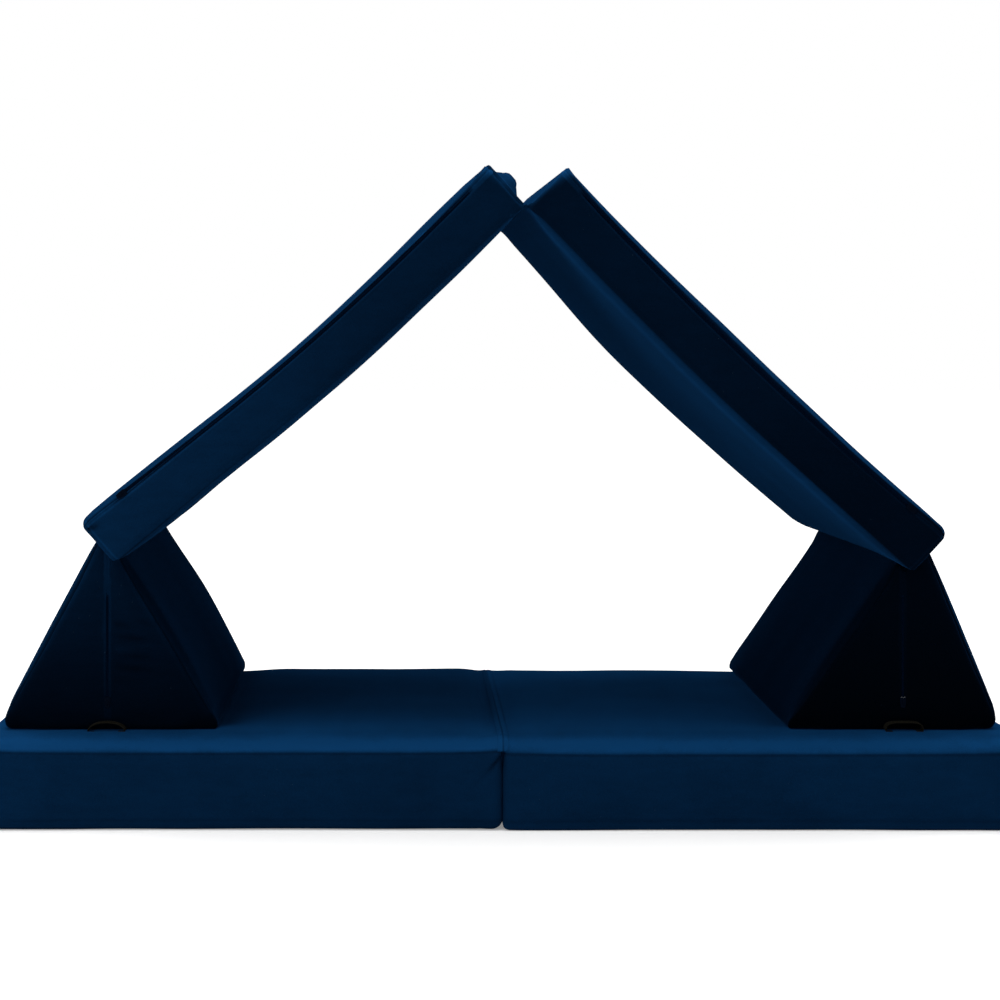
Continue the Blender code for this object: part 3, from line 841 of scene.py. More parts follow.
# %% How the thick mat's cover swells
# The left half's front is a little slack, with a crease that runs up to the fold.
BASE_LOW_SEAM = 0.013
BASE_SEAM_SHARES = (0.65, 0.25)
BASE_WAVE = 0.0014
BASE_SWELLS_FROM = (0.004, 0.03)
BASE_LEFT_DRAWN = 0.004
FOLD_CREASE_DEPTH = 0.0030
FOLD_CREASE_WIDTH = 0.0034
FOLD_CREASE_TOP = 0.111
FOLD_CREASE_RUN = (0.69, 0.72)
FOLD_CREASE_FADES = ((0.75, 0.010, 0.02), (0.25, 0.03, 0.045))
FOLD_CREASE_ALONG = (0.012, 0.024, 0.036)
FOLD_CREASE_LEVELS = (0.103, 0.092, 0.081)


def base_wall(places):
    """The points of the side band."""
    return (np.abs(places[:, 1]) > BASE_DEPTH / 2 - TINY) | (places[:, 0] > BASE_LENGTH - TINY)


def base_swelling(places, side, seams, seed):
    """How far the cover stands off its block, and how deep each point is in the crease."""
    x, y, z = places.T
    wall = base_wall(places)
    swelling = BASE_WAVE * field(places, WAVE_SCALE, seed)
    swelling += corner_puckers(places, BASE_LOW, BASE_HIGH, seed)
    swelling *= rising(x, *BASE_SWELLS_FROM)
    for seam, share in zip(seams, BASE_SEAM_SHARES):
        swelling += wall * share * seam_dip(z - seam)
        swelling += wall * share * seam_puckers(places, z - seam, BAND_PUCKER_SCALE, seed + seam)
    crease = np.zeros(len(places))
    if side < 0:
        front = y < -BASE_DEPTH / 2 + TINY
        slack = front * BASE_LEFT_DRAWN * np.sin(np.pi * z / BASE_THICK)
        swelling -= slack * rising(x, 0, BASE_RISES_OVER)
        run_x, run_z = FOLD_CREASE_RUN
        crease = sum(share * falling(x, start, length)
                     for share, start, length in FOLD_CREASE_FADES)
        crease *= front * ridge((z - FOLD_CREASE_TOP) * run_z + x * run_x, FOLD_CREASE_WIDTH)
        swelling -= FOLD_CREASE_DEPTH * crease
    return swelling, crease


# %% How the thick mat's cover is shaded
# painted light on the top of each half: its tone at the front, further back, and the distance over
# which it changes; painted shade in the crease, and wear with a painted highlight along the top bend
BASE_RIGHT_TONES = (2.15, 1.9, 0.5)
BASE_LEFT_TONES = (2.4, 1.08, 0.34)
BASE_WEAR_AND_HIGHLIGHT = 0.5
BASE_WEAR_AND_HIGHLIGHT_WIDTH = 0.018
FOLD_CREASE_SHADE = 0.7
# a painted shadow beside the bolster's inner foot: its width and how it fades at the ends
BOLSTER_SHADOW_WIDTH = 0.026
BOLSTER_SHADOW_END_FADE = 0.05


def base_top_tone(y, tones):
    """Painted light on the top: its tone at the front, further back, and where it changes."""
    from_front = y + BASE_DEPTH / 2
    return tones[1] + (tones[0] - tones[1]) * (1 - smooth(from_front / tones[2]))


def base_shades(places, side, seams, crease, tones, bolster_shadow):
    """The painted values: painted light, painted shade and a painted highlight with wear."""
    x, y, z = places.T
    bolster_x, _ = base_free_top(side)
    edge = np.minimum(np.abs(np.abs(y) - BASE_DEPTH / 2), BASE_LENGTH - x) + BASE_THICK - z
    above_seam = rising(z - seams[0], *SHARP_STEP)
    # a painted shadow on the top beside the bolster's inner foot, where its shade falls
    pressed = ridge(x - bolster_x + BOLSTER_WIDTH / 2 + BOLSTER_SHADOW_WIDTH / 3, BOLSTER_SHADOW_WIDTH)
    pressed = pressed * rising(BOLSTER_LENGTH / 2 - np.abs(y - BOLSTER_Y), 0, BOLSTER_SHADOW_END_FADE)
    top_tone = 1 + (base_top_tone(y, tones) - 1) * above_seam
    return {"nap_and_painted_light": top_tone * (1 - bolster_shadow * pressed * above_seam),
            "seam": seam_shade(base_wall(places), z, seams, BASE_SEAM_SHARES,
                               FOLD_CREASE_SHADE * crease),
            "wear_and_highlight": BASE_WEAR_AND_HIGHLIGHT * ridge(edge, BASE_WEAR_AND_HIGHLIGHT_WIDTH) * above_seam}


# %% Build both halves of the thick mat
BASE_ZIP_FROM_FOLD = 0.08
BASE_ZIP_FROM_END = 0.08
BASE_TAPE = BASE_DEPTH / 2 - BASE_DRAWN_IN - ZIP_TAPE_RECESS


def base_half(label, side, low_round, fold_rounds, seam_below_top, raised, tones, bolster_shadow, seed):
    """One half's cover, from its grid to its painted values."""
    seams = (BASE_THICK - seam_below_top, BASE_LOW_SEAM)
    zip_height = BASE_THICK / 2
    finer_along, finer_up = (FOLD_CREASE_ALONG, FOLD_CREASE_LEVELS) if side < 0 else ((), ())
    places, quads = block_grid((
        grid_lines(BASE_LOW[0], BASE_HIGH[0], finer_along), grid_lines(BASE_LOW[1], BASE_HIGH[1]),
        grid_lines(BASE_LOW[2], BASE_HIGH[2], seams + finer_up, (zip_height,))))
    x, y, z = places.T
    points = rounded(places, BASE_LOW, BASE_HIGH, base_radii(places, low_round, *fold_rounds))
    held = np.maximum(held_at_foot(z), falling(x, 0, HELD_REACH))
    points = drawn_over(label + "_trial", points, quads, held)
    swelling, crease = base_swelling(places, side, seams, seed)
    points += outward(points, quads) * swelling[:, None]
    points = place_on_base(points, side, raised)
    # flat on the floor, and flat under the bolster
    points[:, 2] = np.maximum(points[:, 2], 0.0)
    bolster_x, _ = base_free_top(side)
    under = (np.abs(x - bolster_x) < BOLSTER_WIDTH / 2) & (z > BASE_THICK / 2)
    under &= np.abs(y - BOLSTER_Y) < BOLSTER_LENGTH / 2
    points[under, 2] = np.minimum(points[under, 2], BASE_THICK)
    # the zip along the middle of the back
    back = y > BASE_DEPTH / 2 - TINY
    past_end = np.maximum(BASE_ZIP_FROM_FOLD - x, x - BASE_LENGTH + BASE_ZIP_FROM_END)
    heights = open_for_zip(points[:, 1] - BASE_TAPE, z - zip_height, past_end, *WIDE_FLAT)
    points[back, 1] = BASE_TAPE + heights[back]
    cover = add_piece(label + "_velour", points, facing_out(quads, side), velour, label + "_half",
                      base_shades(places, side, seams, crease, tones, bolster_shadow))
    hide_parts(label + "_cover")


base_half("base_right", 1, low_round=0.007, fold_rounds=(0.015, 0.012), seam_below_top=0.0245,
          raised=0.0008, tones=BASE_RIGHT_TONES, bolster_shadow=0.35, seed=11.3)
base_half("base_left", -1, low_round=0.018, fold_rounds=(0.021, 0.018), seam_below_top=0.0205,
          raised=0.0038, tones=BASE_LEFT_TONES, bolster_shadow=0.7, seed=4.7)

# %% [markdown]
# ## The thin mat that makes the roof
# Two 86 mm panels lean together at a sewn fold on their underside, so their ends open as a V at the
# ridge. The panels dip a little under their own weight, and the top seam runs close to the upper
# edge, with the zip just below it on the front.

# %% How round the roof's covers are
ROOF_EDGE_ROUND = 0.011
ROOF_END_TOP_ROUND = 0.019
ROOF_END_LOW_ROUND = 0.009
ROOF_RIDGE_ROUND = 0.013
ROOF_FOLD_ROUND = 0.004
ROOF_ROUND_CHANGE = 0.05
ROOF_FOLD_PRESSED = 0.0001
ROOF_LOW = (-ROOF_FOLD_PRESSED, -ROOF_DEPTH / 2, FACE_FIT)
ROOF_HIGH = (ROOF_LENGTH, ROOF_DEPTH / 2, FACE_FIT + ROOF_THICK)


def roof_radii(places):
    """How round a panel's block is at each of its points: across, deep and high."""
    x, _, z = places.T
    high = z > FACE_FIT + ROOF_THICK / 2
    near_fold = falling(x, 0, ROOF_ROUND_CHANGE)
    near_end = falling(ROOF_LENGTH - x, 0, ROOF_ROUND_CHANGE)
    at_fold = np.where(high, ROOF_RIDGE_ROUND, ROOF_FOLD_ROUND)
    at_end = np.where(high, ROOF_END_TOP_ROUND, ROOF_END_LOW_ROUND)
    tall = ROOF_EDGE_ROUND + (at_fold - ROOF_EDGE_ROUND) * near_fold
    tall += (at_end - ROOF_EDGE_ROUND) * near_end
    across = np.where(x > ROOF_LENGTH / 2, ROOF_END_TOP_ROUND, ROOF_FOLD_ROUND)
    deep = np.full(len(places), ROOF_EDGE_ROUND)
    return np.stack([across, deep, tall], axis=1)


# %% Where a panel's points lie on the sofa
ROOF_LEFT_HANG = 0.005
ROOF_TWIST = 0.0075


def dip_roof(points):
    """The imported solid's own form: the end drawn in, a crown on top and a dip along the panel."""
    x, y, z = np.array(points).T
    along, across = x / ROOF_LENGTH, y / ROOF_DEPTH + 0.5
    tall = np.clip((z - FACE_FIT) / ROOF_THICK, 0, 1)
    crown = ROOF_CROWN * swell(along) * np.sqrt(swell(across)) * tall ** 2
    return np.stack([x - ROOF_DRAWN_IN * arch(across) * along ** 3,
                     y * (1 - ROOF_DRAWN_IN * arch(along) / (ROOF_DEPTH / 2)),
                     z + crown - ROOF_SAG * arch(along)], axis=1)


def place_on_roof(points, side, slope):
    """From a panel's own place, along it and out of it, to the sofa's."""
    x, y, z = points.T
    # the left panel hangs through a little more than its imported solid
    z = z - ROOF_LEFT_HANG * swell(x / ROOF_LENGTH) * (side < 0)
    # the ridge is twisted a little in plan: its front end lies further to the right
    twist = -ROOF_TWIST * y / (ROOF_DEPTH / 2) * (1 - x / ROOF_LENGTH)
    return np.stack([ROOF_FOLD.x + side * (x * math.cos(slope) + z * math.sin(slope)) + twist, y,
                     ROOF_FOLD.z - x * math.sin(slope) + z * math.cos(slope)], axis=1)


# %% How a panel's cover swells
# A tab of cloth covers the zip's end at the ridge, and one short tuck runs in from the lower end.
ROOF_SEAMS = (ROOF_HIGH[2] - 0.0065, ROOF_LOW[2] + 0.010)
ROOF_SEAM_SHARES = (1.0, 0.15)
ROOF_END_SEAM_SHARE = 0.15
ROOF_SLIT = ROOF_HIGH[2] - 0.012
ROOF_ZIP_FROM_FOLD = 0.05
ROOF_ZIP_FROM_END = 0.06
ROOF_WAVE = 0.0012
ROOF_SWELLS_FROM = (0.001, 0.03)
ROOF_BELOW_SEAM = 0.004
ROOF_TAB_END = 0.046
ROOF_TAB_HEIGHT = 0.0015
ROOF_TAB_FADE = 0.003
ROOF_TUCK_HEIGHT = 0.069
ROOF_TUCK_SLOPE = 0.26
ROOF_TUCK_WIDTH = 0.0045
ROOF_TUCK_DEPTH = 0.0030
ROOF_TUCK_FROM = (-0.030, 0.02)


def roof_wall(places):
    """One on the side band and the panel's end at the fold, and a share of it on the lower end."""
    x, y, _ = places.T
    wall = (np.abs(y) > ROOF_DEPTH / 2 - TINY) | (x < ROOF_LOW[0] + TINY)
    return wall + (x > ROOF_LENGTH - TINY) * ROOF_END_SEAM_SHARE


def roof_past_end(x):
    """How far a place along the panel lies beyond the zip's nearer end."""
    return np.maximum(ROOF_ZIP_FROM_FOLD - x, x - ROOF_LENGTH + ROOF_ZIP_FROM_END)


def roof_swelling(places, front, tuck, seed):
    """How far a cover stands off its block, with how much each point is in the tab and tuck."""
    x, _, z = places.T
    wall = roof_wall(places)
    swelling = ROOF_WAVE * field(places, WAVE_SCALE, seed)
    swelling += corner_puckers(places, ROOF_LOW, ROOF_HIGH, seed)
    swelling *= rising(x, *ROOF_SWELLS_FROM)
    for seam, share in zip(ROOF_SEAMS, ROOF_SEAM_SHARES):
        swelling += wall * share * seam_dip(z - seam)
        swelling += (wall * share * rising(seam - z, 0, ROOF_BELOW_SEAM)
                     * seam_puckers(places, z - seam, BAND_PUCKER_SCALE, seed + seam))
    tab = front * falling(x - ROOF_TAB_END, *SHARP_STEP)
    tab *= rising(z - ROOF_SLIT, -PLACKET_HALF, ROOF_TAB_FADE)
    swelling += ROOF_TAB_HEIGHT * tab + front * placket(z - ROOF_SLIT, roof_past_end(x))
    off_tuck = z - ROOF_TUCK_HEIGHT - ROOF_TUCK_SLOPE * (x - ROOF_LENGTH)
    tucked = tuck * front * ridge(off_tuck, ROOF_TUCK_WIDTH)
    tucked *= rising(x - ROOF_LENGTH, *ROOF_TUCK_FROM)
    return swelling - ROOF_TUCK_DEPTH * tucked, tab, tucked


# %% How a panel hangs
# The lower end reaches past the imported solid's and droops, and the underside hangs a little, most
# at the back. Above the fold the end leans back, so that opened panels don't press together.
ROOF_END_EASE = 0.0035
ROOF_EASE_UP = (0.003, 0.012)
ROOF_EASE_ALONG = 0.012
ROOF_REACH_FROM = (0.7, 0.3)
ROOF_HANG_FROM = 0.44
ROOF_HANG_TO = (0.915, 0.07)
ROOF_HANG_FRONT = -0.6
ROOF_ABOVE_ZIP = (0.004, 0.008)


def hung(points, places, stretched, belly, top_hang):
    """The panel's points after it is dipped, stretched and hung."""
    x, y, z = places.T
    along = x / ROOF_LENGTH
    points[:, 0] += ROOF_END_EASE * rising(z, *ROOF_EASE_UP) * falling(x, 0, ROOF_EASE_ALONG)
    points = dip_roof(points)
    reach = rising(along, *ROOF_REACH_FROM)
    points += np.stack([stretched[0] * reach, 0 * reach, -stretched[1] * reach], axis=1)
    hanging = rising(along, 0, ROOF_HANG_FROM) * falling(along, *ROOF_HANG_TO)
    hanging *= rising(y / ROOF_DEPTH, ROOF_HANG_FRONT, 1)
    points[:, 2] -= belly * hanging * np.clip(1 - (z - ROOF_LOW[2]) / ROOF_THICK, 0, 1)
    points[:, 2] -= top_hang * swell(along) * rising(z - ROOF_SLIT, *ROOF_ABOVE_ZIP)
    return points


# %% How a panel's cover is shaded
# Beside the ridge a painted highlight makes a brighter band, with a brighter painted line on its
# edge. The front's painted tone changes along the panel, and a painted highlight runs along the
# underside's front edge.
ROOF_TONE_FROM = (0.35, 0.5)
ROOF_BAND_WIDTH = 0.022
ROOF_BAND_LEAN = 0.3
ROOF_BAND_FROM = 0.2
ROOF_BAND_UP = 0.05
ROOF_BAND_HIGHLIGHT_LINE = 0.0022
ROOF_BAND_HIGHLIGHT_WIDTH = 0.0019
ROOF_END_LINE = ROOF_LENGTH - 0.0065
ROOF_END_LINE_TONE = 0.7
ROOF_END_LINE_WIDTH = 0.0022
ROOF_UNDER_HIGHLIGHT = 2.0
ROOF_UNDER_HIGHLIGHT_PLACE = 0.035
ROOF_UNDER_HIGHLIGHT_WIDTH = 0.03
ROOF_UNDER_HIGHLIGHT_FADE = 0.2
# painted highlights on the tab and the zip's lips, painted shade in the tab's grooves and the tuck
ROOF_TAB_HIGHLIGHT = 0.9
ROOF_TAB_GROOVE_SHADE = 0.7
ROOF_TAB_LINES = (0.0036, -0.0024)
ROOF_TAB_LINE_WIDTH = 0.001
ROOF_TUCK_SHADE = 0.9
ROOF_LIP_HIGHLIGHT = 0.8
ROOF_WEAR_AND_HIGHLIGHT_WIDTH = 0.006


def roof_painted_tones(places, front, tones, band):
    """Painted light and shade on the front, the underside, the lower end and the top."""
    x, y, z = places.T
    tone = tones[0] + (tones[1] - tones[0]) * rising(x / ROOF_LENGTH, *ROOF_TONE_FROM)
    past_band = (x + ROOF_BAND_LEAN * (ROOF_THICK - z)) / ROOF_BAND_WIDTH
    tone = tone + band[0] * falling(past_band, ROOF_BAND_FROM, 1) * rising(z, 0, ROOF_BAND_UP)
    tone = tone + band[1] * ridge(x - ROOF_BAND_HIGHLIGHT_LINE, ROOF_BAND_HIGHLIGHT_WIDTH)
    end_line = ridge(x - ROOF_END_LINE, ROOF_END_LINE_WIDTH)
    tone = tone + ROOF_END_LINE_TONE * tones[1] * end_line
    under_highlight = ridge(y + ROOF_DEPTH / 2 - ROOF_UNDER_HIGHLIGHT_PLACE, ROOF_UNDER_HIGHLIGHT_WIDTH)
    under_highlight = under_highlight * rising(ROOF_LENGTH - x, 0, ROOF_UNDER_HIGHLIGHT_FADE)
    under_tone = tones[2] * (1 + ROOF_UNDER_HIGHLIGHT * under_highlight)
    other_tone = np.where(z < ROOF_LOW[2] + TINY, under_tone, 1.0)
    other_tone = np.where(x > ROOF_LENGTH - TINY, tones[1], other_tone)
    return np.where(front, tone, other_tone)


def roof_shades(places, front, tab, tucked, tones, band):
    """The painted values of a panel's cover: painted shade and painted highlights."""
    x, y, z = places.T
    edge = np.minimum(np.abs(np.abs(y) - ROOF_DEPTH / 2), ROOF_LENGTH - x) + ROOF_HIGH[2] - z
    # painted shade in two grooves on the tab, in the seams and the tuck; painted highlights on the
    # tab, on the zip's lips and, with some wear, along the top edges
    tab_groove_shade = ROOF_TAB_GROOVE_SHADE * tab * sum(ridge(z - ROOF_SLIT - line, ROOF_TAB_LINE_WIDTH)
                                          for line in ROOF_TAB_LINES)
    lit_lips = ridge(np.abs(z - ROOF_SLIT) - PLACKET_HALF / 2, PLACKET_GROOVE_WIDTH) * front
    return {"nap_and_painted_light": roof_painted_tones(places, front, tones, band),
            "seam": seam_shade(roof_wall(places), z, ROOF_SEAMS, ROOF_SEAM_SHARES,
                               ROOF_TUCK_SHADE * tucked + tab_groove_shade),
            "wear_and_highlight": ridge(edge, ROOF_WEAR_AND_HIGHLIGHT_WIDTH) + ROOF_TAB_HIGHLIGHT * tab + ROOF_LIP_HIGHLIGHT * lit_lips}


# %% Build both panels of the roof
ROOF_TAPE = -(ROOF_DEPTH / 2 - ROOF_DRAWN_IN - ZIP_TAPE_RECESS)


def roof_panel(label, side, slope, tones, band, stretched, belly, top_hang, tuck, seed):
    """One panel's cover, from its grid to its painted values."""
    places, quads = block_grid((
        grid_lines(ROOF_LOW[0], ROOF_HIGH[0], (ROOF_TAB_END, ROOF_END_LINE)),
        grid_lines(ROOF_LOW[1], ROOF_HIGH[1]),
        grid_lines(ROOF_LOW[2], ROOF_HIGH[2], ROOF_SEAMS, (ROOF_SLIT,))))
    x, y, z = places.T
    front = y < -ROOF_DEPTH / 2 + TINY
    points = rounded(places, ROOF_LOW, ROOF_HIGH, roof_radii(places))
    points = drawn_over(label + "_trial", points, quads, falling(x, 0, HELD_REACH))
    swelling, tab, tucked = roof_swelling(places, front, tuck, seed)
    points += outward(points, quads) * swelling[:, None]
    points = hung(points, places, stretched, belly, top_hang)
    # the zip below the front's top seam
    heights = open_for_zip(ROOF_TAPE - points[:, 1], z - ROOF_SLIT, roof_past_end(x), *NARROW_FLAT)
    points[front, 1] = ROOF_TAPE - heights[front]
    points = place_on_roof(points, side, slope)
    cover = add_piece(label + "_velour", points, facing_out(quads, side), velour, label + "_panel",
                      roof_shades(places, front, tab, tucked, tones, band))
    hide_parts(label + "_cover")


# tones: the front near the fold and at the lower end, and the underside; band: the painted highlight
# beside the ridge and its painted line; all of them are painted light and shade
roof_panel("roof_left", -1, ROOF_LEFT_SLOPE, tones=(0.55, 0.97, 0.45), band=(0.8, 3.2),
           stretched=(0.008, 0.0045), belly=0.002, top_hang=0.0055, tuck=1.0, seed=23.9)
roof_panel("roof_right", 1, ROOF_RIGHT_SLOPE, tones=(0.34, 0.15, 0.59), band=(1.9, 1.2),
           stretched=(0.0, 0.0), belly=0.018, top_hang=-0.002, tuck=0.0, seed=31.1)

# %% [markdown]
# ## The cap on the left panel's ridge end
# In the photograph the left panel's end stands out into the V, behind a bright line, which the
# panel's cover carries as a painted highlight.
# The end is a panel of its own, sewn on round its edge and blown out by the foam, in two swells
# with a fold between them. It is a separate closed piece.

# %% Ridge cap
CAP_IN = 0.030
CAP_INSIDE = 0.0014
CAP_ROUND = 0.005
CAP_CROWN = 0.027
CAP_FRONT_SWELL = 0.55
CAP_CROWN_FADE = 0.05
CAP_FRONT_FADE = (0.004, 0.05)
CAP_BACK_FADE = 0.06
CAP_FROM = 0.012
CAP_TO = 0.076
CAP_UP = 0.42
CAP_DOWN = (0.58, 0.42)
CAP_DOWN_BEND = 1.4
CAP_FOLD_PLACE = 0.105
CAP_FOLD_LEAN = 0.01
CAP_FOLD_DEPTH = 0.012
CAP_FOLD_WIDTH = 0.009
# painted shade in the fold and a painted highlight across the upper swell
CAP_SHADE = 0.8
CAP_SHADE_WIDTH = 0.012
CAP_HIGHLIGHT = 0.5
CAP_HIGHLIGHT_AT = 0.62
CAP_HIGHLIGHT_WIDTH = 0.12


def ridge_cap(label, side, slope, tones, seed):
    """The panel's blown-out end: how far it stands out depends on the place across and up it."""
    low = (0.0, -ROOF_DEPTH / 2 + CAP_INSIDE, FACE_FIT + CAP_INSIDE)
    high = (CAP_IN, ROOF_DEPTH / 2 - CAP_INSIDE, FACE_FIT + ROOF_THICK - CAP_INSIDE)
    places, quads = block_grid([grid_lines(start, end) for start, end in zip(low, high)])
    x, y, z = places.T
    points = rounded(places, low, high, CAP_ROUND)
    points += outward(points, quads) * corner_puckers(places, low, high, seed)[:, None]
    from_front = y - low[1]
    rise = np.clip((z - CAP_FROM) / (CAP_TO - CAP_FROM), 0, 1)
    up = rising(rise, 0, CAP_UP) * (1 - rising(rise, *CAP_DOWN) ** CAP_DOWN_BEND)
    crown = CAP_FRONT_SWELL
    crown += (1 - CAP_FRONT_SWELL) * rising(from_front, CAP_FOLD_PLACE, CAP_CROWN_FADE)
    crown = CAP_CROWN * crown * rising(from_front, *CAP_FRONT_FADE)
    crown = crown * rising(high[1] - y, 0, CAP_BACK_FADE) * up
    off_fold = from_front - CAP_FOLD_PLACE + CAP_FOLD_LEAN * rise
    fold = CAP_FOLD_DEPTH * ridge(off_fold, CAP_FOLD_WIDTH) * up
    points[:, 0] -= (crown - fold) * falling(x, 0, CAP_IN)
    points = place_on_roof(dip_roof(points), side, slope)
    # painted light: brighter towards the top, painted shade in the fold, a painted highlight on the
    # swell
    painted = {"nap_and_painted_light": tones[0] + (tones[1] - tones[0]) * smooth(rise),
               "seam": CAP_SHADE * ridge(off_fold, CAP_SHADE_WIDTH),
               "wear_and_highlight": CAP_HIGHLIGHT * ridge(rise - CAP_HIGHLIGHT_AT, CAP_HIGHLIGHT_WIDTH)}
    cap = add_piece(label + "_ridge_cap", points, facing_out(quads, side), velour,
                    label + "_panel", painted)
    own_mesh(cap)


ridge_cap("roof_left", -1, ROOF_LEFT_SLOPE, tones=(0.7, 1.0), seed=5.3)

# %% [markdown]
# ## The triangular bolsters
# Two wedges of foam stand on the mat, and the roof rests on their points. The block is mapped on to
# the wedge's section: its foot stays, and its top narrows to the strip that a roof panel presses.
# The right one is creased by the corner of its panel, so its top is a soft notch.

# %% The wedge's section
BOLSTER_GRID_HEIGHT = 0.27
NOTCH_LIFT = 0.005


def line_crossing(first, first_run, second, second_run):
    """Where two lines of the section cross."""
    turn = np.array([first_run, -np.array(second_run)]).T
    return np.array(first) + np.array(first_run) * np.linalg.solve(
        turn, np.array(second) - np.array(first))[0]


def bolster_top(lean, side, slope):
    """The corners of a wedge's pressed top, from its left slope to its right one."""
    half = BOLSTER_WIDTH / 2
    point = np.array([lean, BOLSTER_HEIGHT])
    outward_by = ROOF_RIGHT_OUTWARD if side > 0 else ROOF_LEFT_INWARD
    pressed = ROOF_RIGHT_PRESSED if side > 0 else ROOF_LEFT_PRESSED
    corner = np.array([outward_by, BOLSTER_HEIGHT - pressed])
    end_face = (side * math.sin(slope), math.cos(slope))
    underside = (-side * math.cos(slope), math.sin(slope))
    outer_foot = np.array([side * half, 0.0])
    outer = line_crossing(outer_foot, point - outer_foot, corner, end_face)
    if side < 0:
        return [outer, line_crossing(-outer_foot, point + outer_foot, corner, end_face)]
    inner = line_crossing(-outer_foot, point + outer_foot, corner, underside)
    return [inner, corner + (0.0, NOTCH_LIFT), outer]


def wedge_section(block, top):
    """The block's section mapped on to the wedge's: the top follows the given corners."""
    share = block[:, 0] / BOLSTER_WIDTH + 0.5
    climb = block[:, 2] / BOLSTER_GRID_HEIGHT
    stops = np.linspace(0, 1, len(top))
    top_x = np.interp(share, stops, [corner[0] for corner in top])
    top_z = np.interp(share, stops, [corner[1] for corner in top])
    return np.stack([block[:, 0] * (1 - climb) + top_x * climb, block[:, 1], top_z * climb],
                    axis=1)


# %% How round a bolster's cover is
BOLSTER_LOW = (-BOLSTER_WIDTH / 2, -BOLSTER_LENGTH / 2, 0.0)
BOLSTER_HIGH = (BOLSTER_WIDTH / 2, BOLSTER_LENGTH / 2, BOLSTER_GRID_HEIGHT)
BOLSTER_ARRIS_ROUND = 0.014
BOLSTER_TOP_ROUND = 0.009
BOLSTER_OUTER_FOOT_ROUND = 0.026
BOLSTER_INNER_FOOT_ROUND = 0.016
BOLSTER_FOOT_RISE = 0.044
BOLSTER_FOOT_EDGE = 0.005
BOLSTER_FOOT_TO = (0.06, 0.2)
BOLSTER_CORNER_TO = (0.02, 0.05)
BOLSTER_MOST_ROUND = 0.9
BOLSTER_LEAST_SHARE = 0.13


def bolster_radii(places, side, narrowed):
    """How round the block is at each of its points: across, deep and high."""
    x, _, z = places.T
    half = BOLSTER_WIDTH / 2
    rise = z / BOLSTER_GRID_HEIGHT
    foot = np.where(x * side > 0, BOLSTER_OUTER_FOOT_ROUND, BOLSTER_INNER_FOOT_ROUND)
    across = BOLSTER_ARRIS_ROUND + (foot - BOLSTER_ARRIS_ROUND) * falling(rise, *BOLSTER_FOOT_TO)
    near_corner = falling(half - np.abs(x), *BOLSTER_CORNER_TO)
    foot_round = BOLSTER_FOOT_EDGE + (BOLSTER_FOOT_RISE - BOLSTER_FOOT_EDGE) * near_corner
    return np.stack([np.minimum(across / narrowed, half * BOLSTER_MOST_ROUND),
                     np.full(len(x), BOLSTER_ARRIS_ROUND),
                     np.where(rise > 0.5, BOLSTER_TOP_ROUND, foot_round)], axis=1)


# %% How a bolster's cover swells
# Seams run up the two triangular faces and end short of the foot. On the left bolster's front,
# short creases pull off the zip.
BOLSTER_WAVE = 0.0016
BOLSTER_WAVE_SCALE = 8.0
BOLSTER_PUCKER_SCALE = 34
BOLSTER_SEAM_SHARE = 0.6
BOLSTER_SEAM_FROM = 0.030
BOLSTER_PLACKET_LOW = 0.020
CREASE_HEIGHTS = (0.160, 0.138, 0.124, 0.109, 0.092, 0.078)
CREASE_DEPTHS = (0.0009, 0.0012, -0.0010, 0.0014, 0.0013, 0.0008)
CREASE_WIDTH = 0.0038
CREASE_CLIMB = 0.05
CREASE_FROM = 0.006
CREASE_RISES_OVER = 0.008
CREASE_TO = (0.02, 0.060)
CREASE_SHADE = 500.0


def bolster_swelling(places, points, front, side, seam_off, seed):
    """How far a cover stands off its wedge, and the painted shade and highlight of its creases."""
    swelling = BOLSTER_WAVE * field(places, BOLSTER_WAVE_SCALE, seed)
    swelling += BOLSTER_SEAM_SHARE * seam_dip(seam_off)
    swelling += seam_puckers(places, seam_off, BOLSTER_PUCKER_SCALE, seed)
    section_x, _, section_z = points.T
    shaded = np.zeros(len(places))
    if side < 0:
        reach = rising(section_x, CREASE_FROM, CREASE_RISES_OVER)
        reach *= falling(section_x - CREASE_FROM, *CREASE_TO)
        for crease_height, crease_depth in zip(CREASE_HEIGHTS, CREASE_DEPTHS):
            line = section_z - crease_height - CREASE_CLIMB * section_x
            fold = front * reach * ridge(line, CREASE_WIDTH)
            swelling -= crease_depth * fold
            shaded += CREASE_SHADE * crease_depth * fold
    swelling += front * placket(section_x, BOLSTER_PLACKET_LOW - section_z)
    return swelling, shaded


# %% How a bolster stands under its load
# The foot spreads by a different amount on its outer and its inner side, the ends bulge, and the
# top's inner edge is squeezed up against the roof.
BOLSTER_BULGE = 0.004
BOLSTER_BULGE_FADE = 0.05
FOOT_SPREADS_FROM = 0.10
FOOT_SPREAD_BEND = 1.5
BOLSTER_SQUEEZED_FROM = (0.9, 0.1)


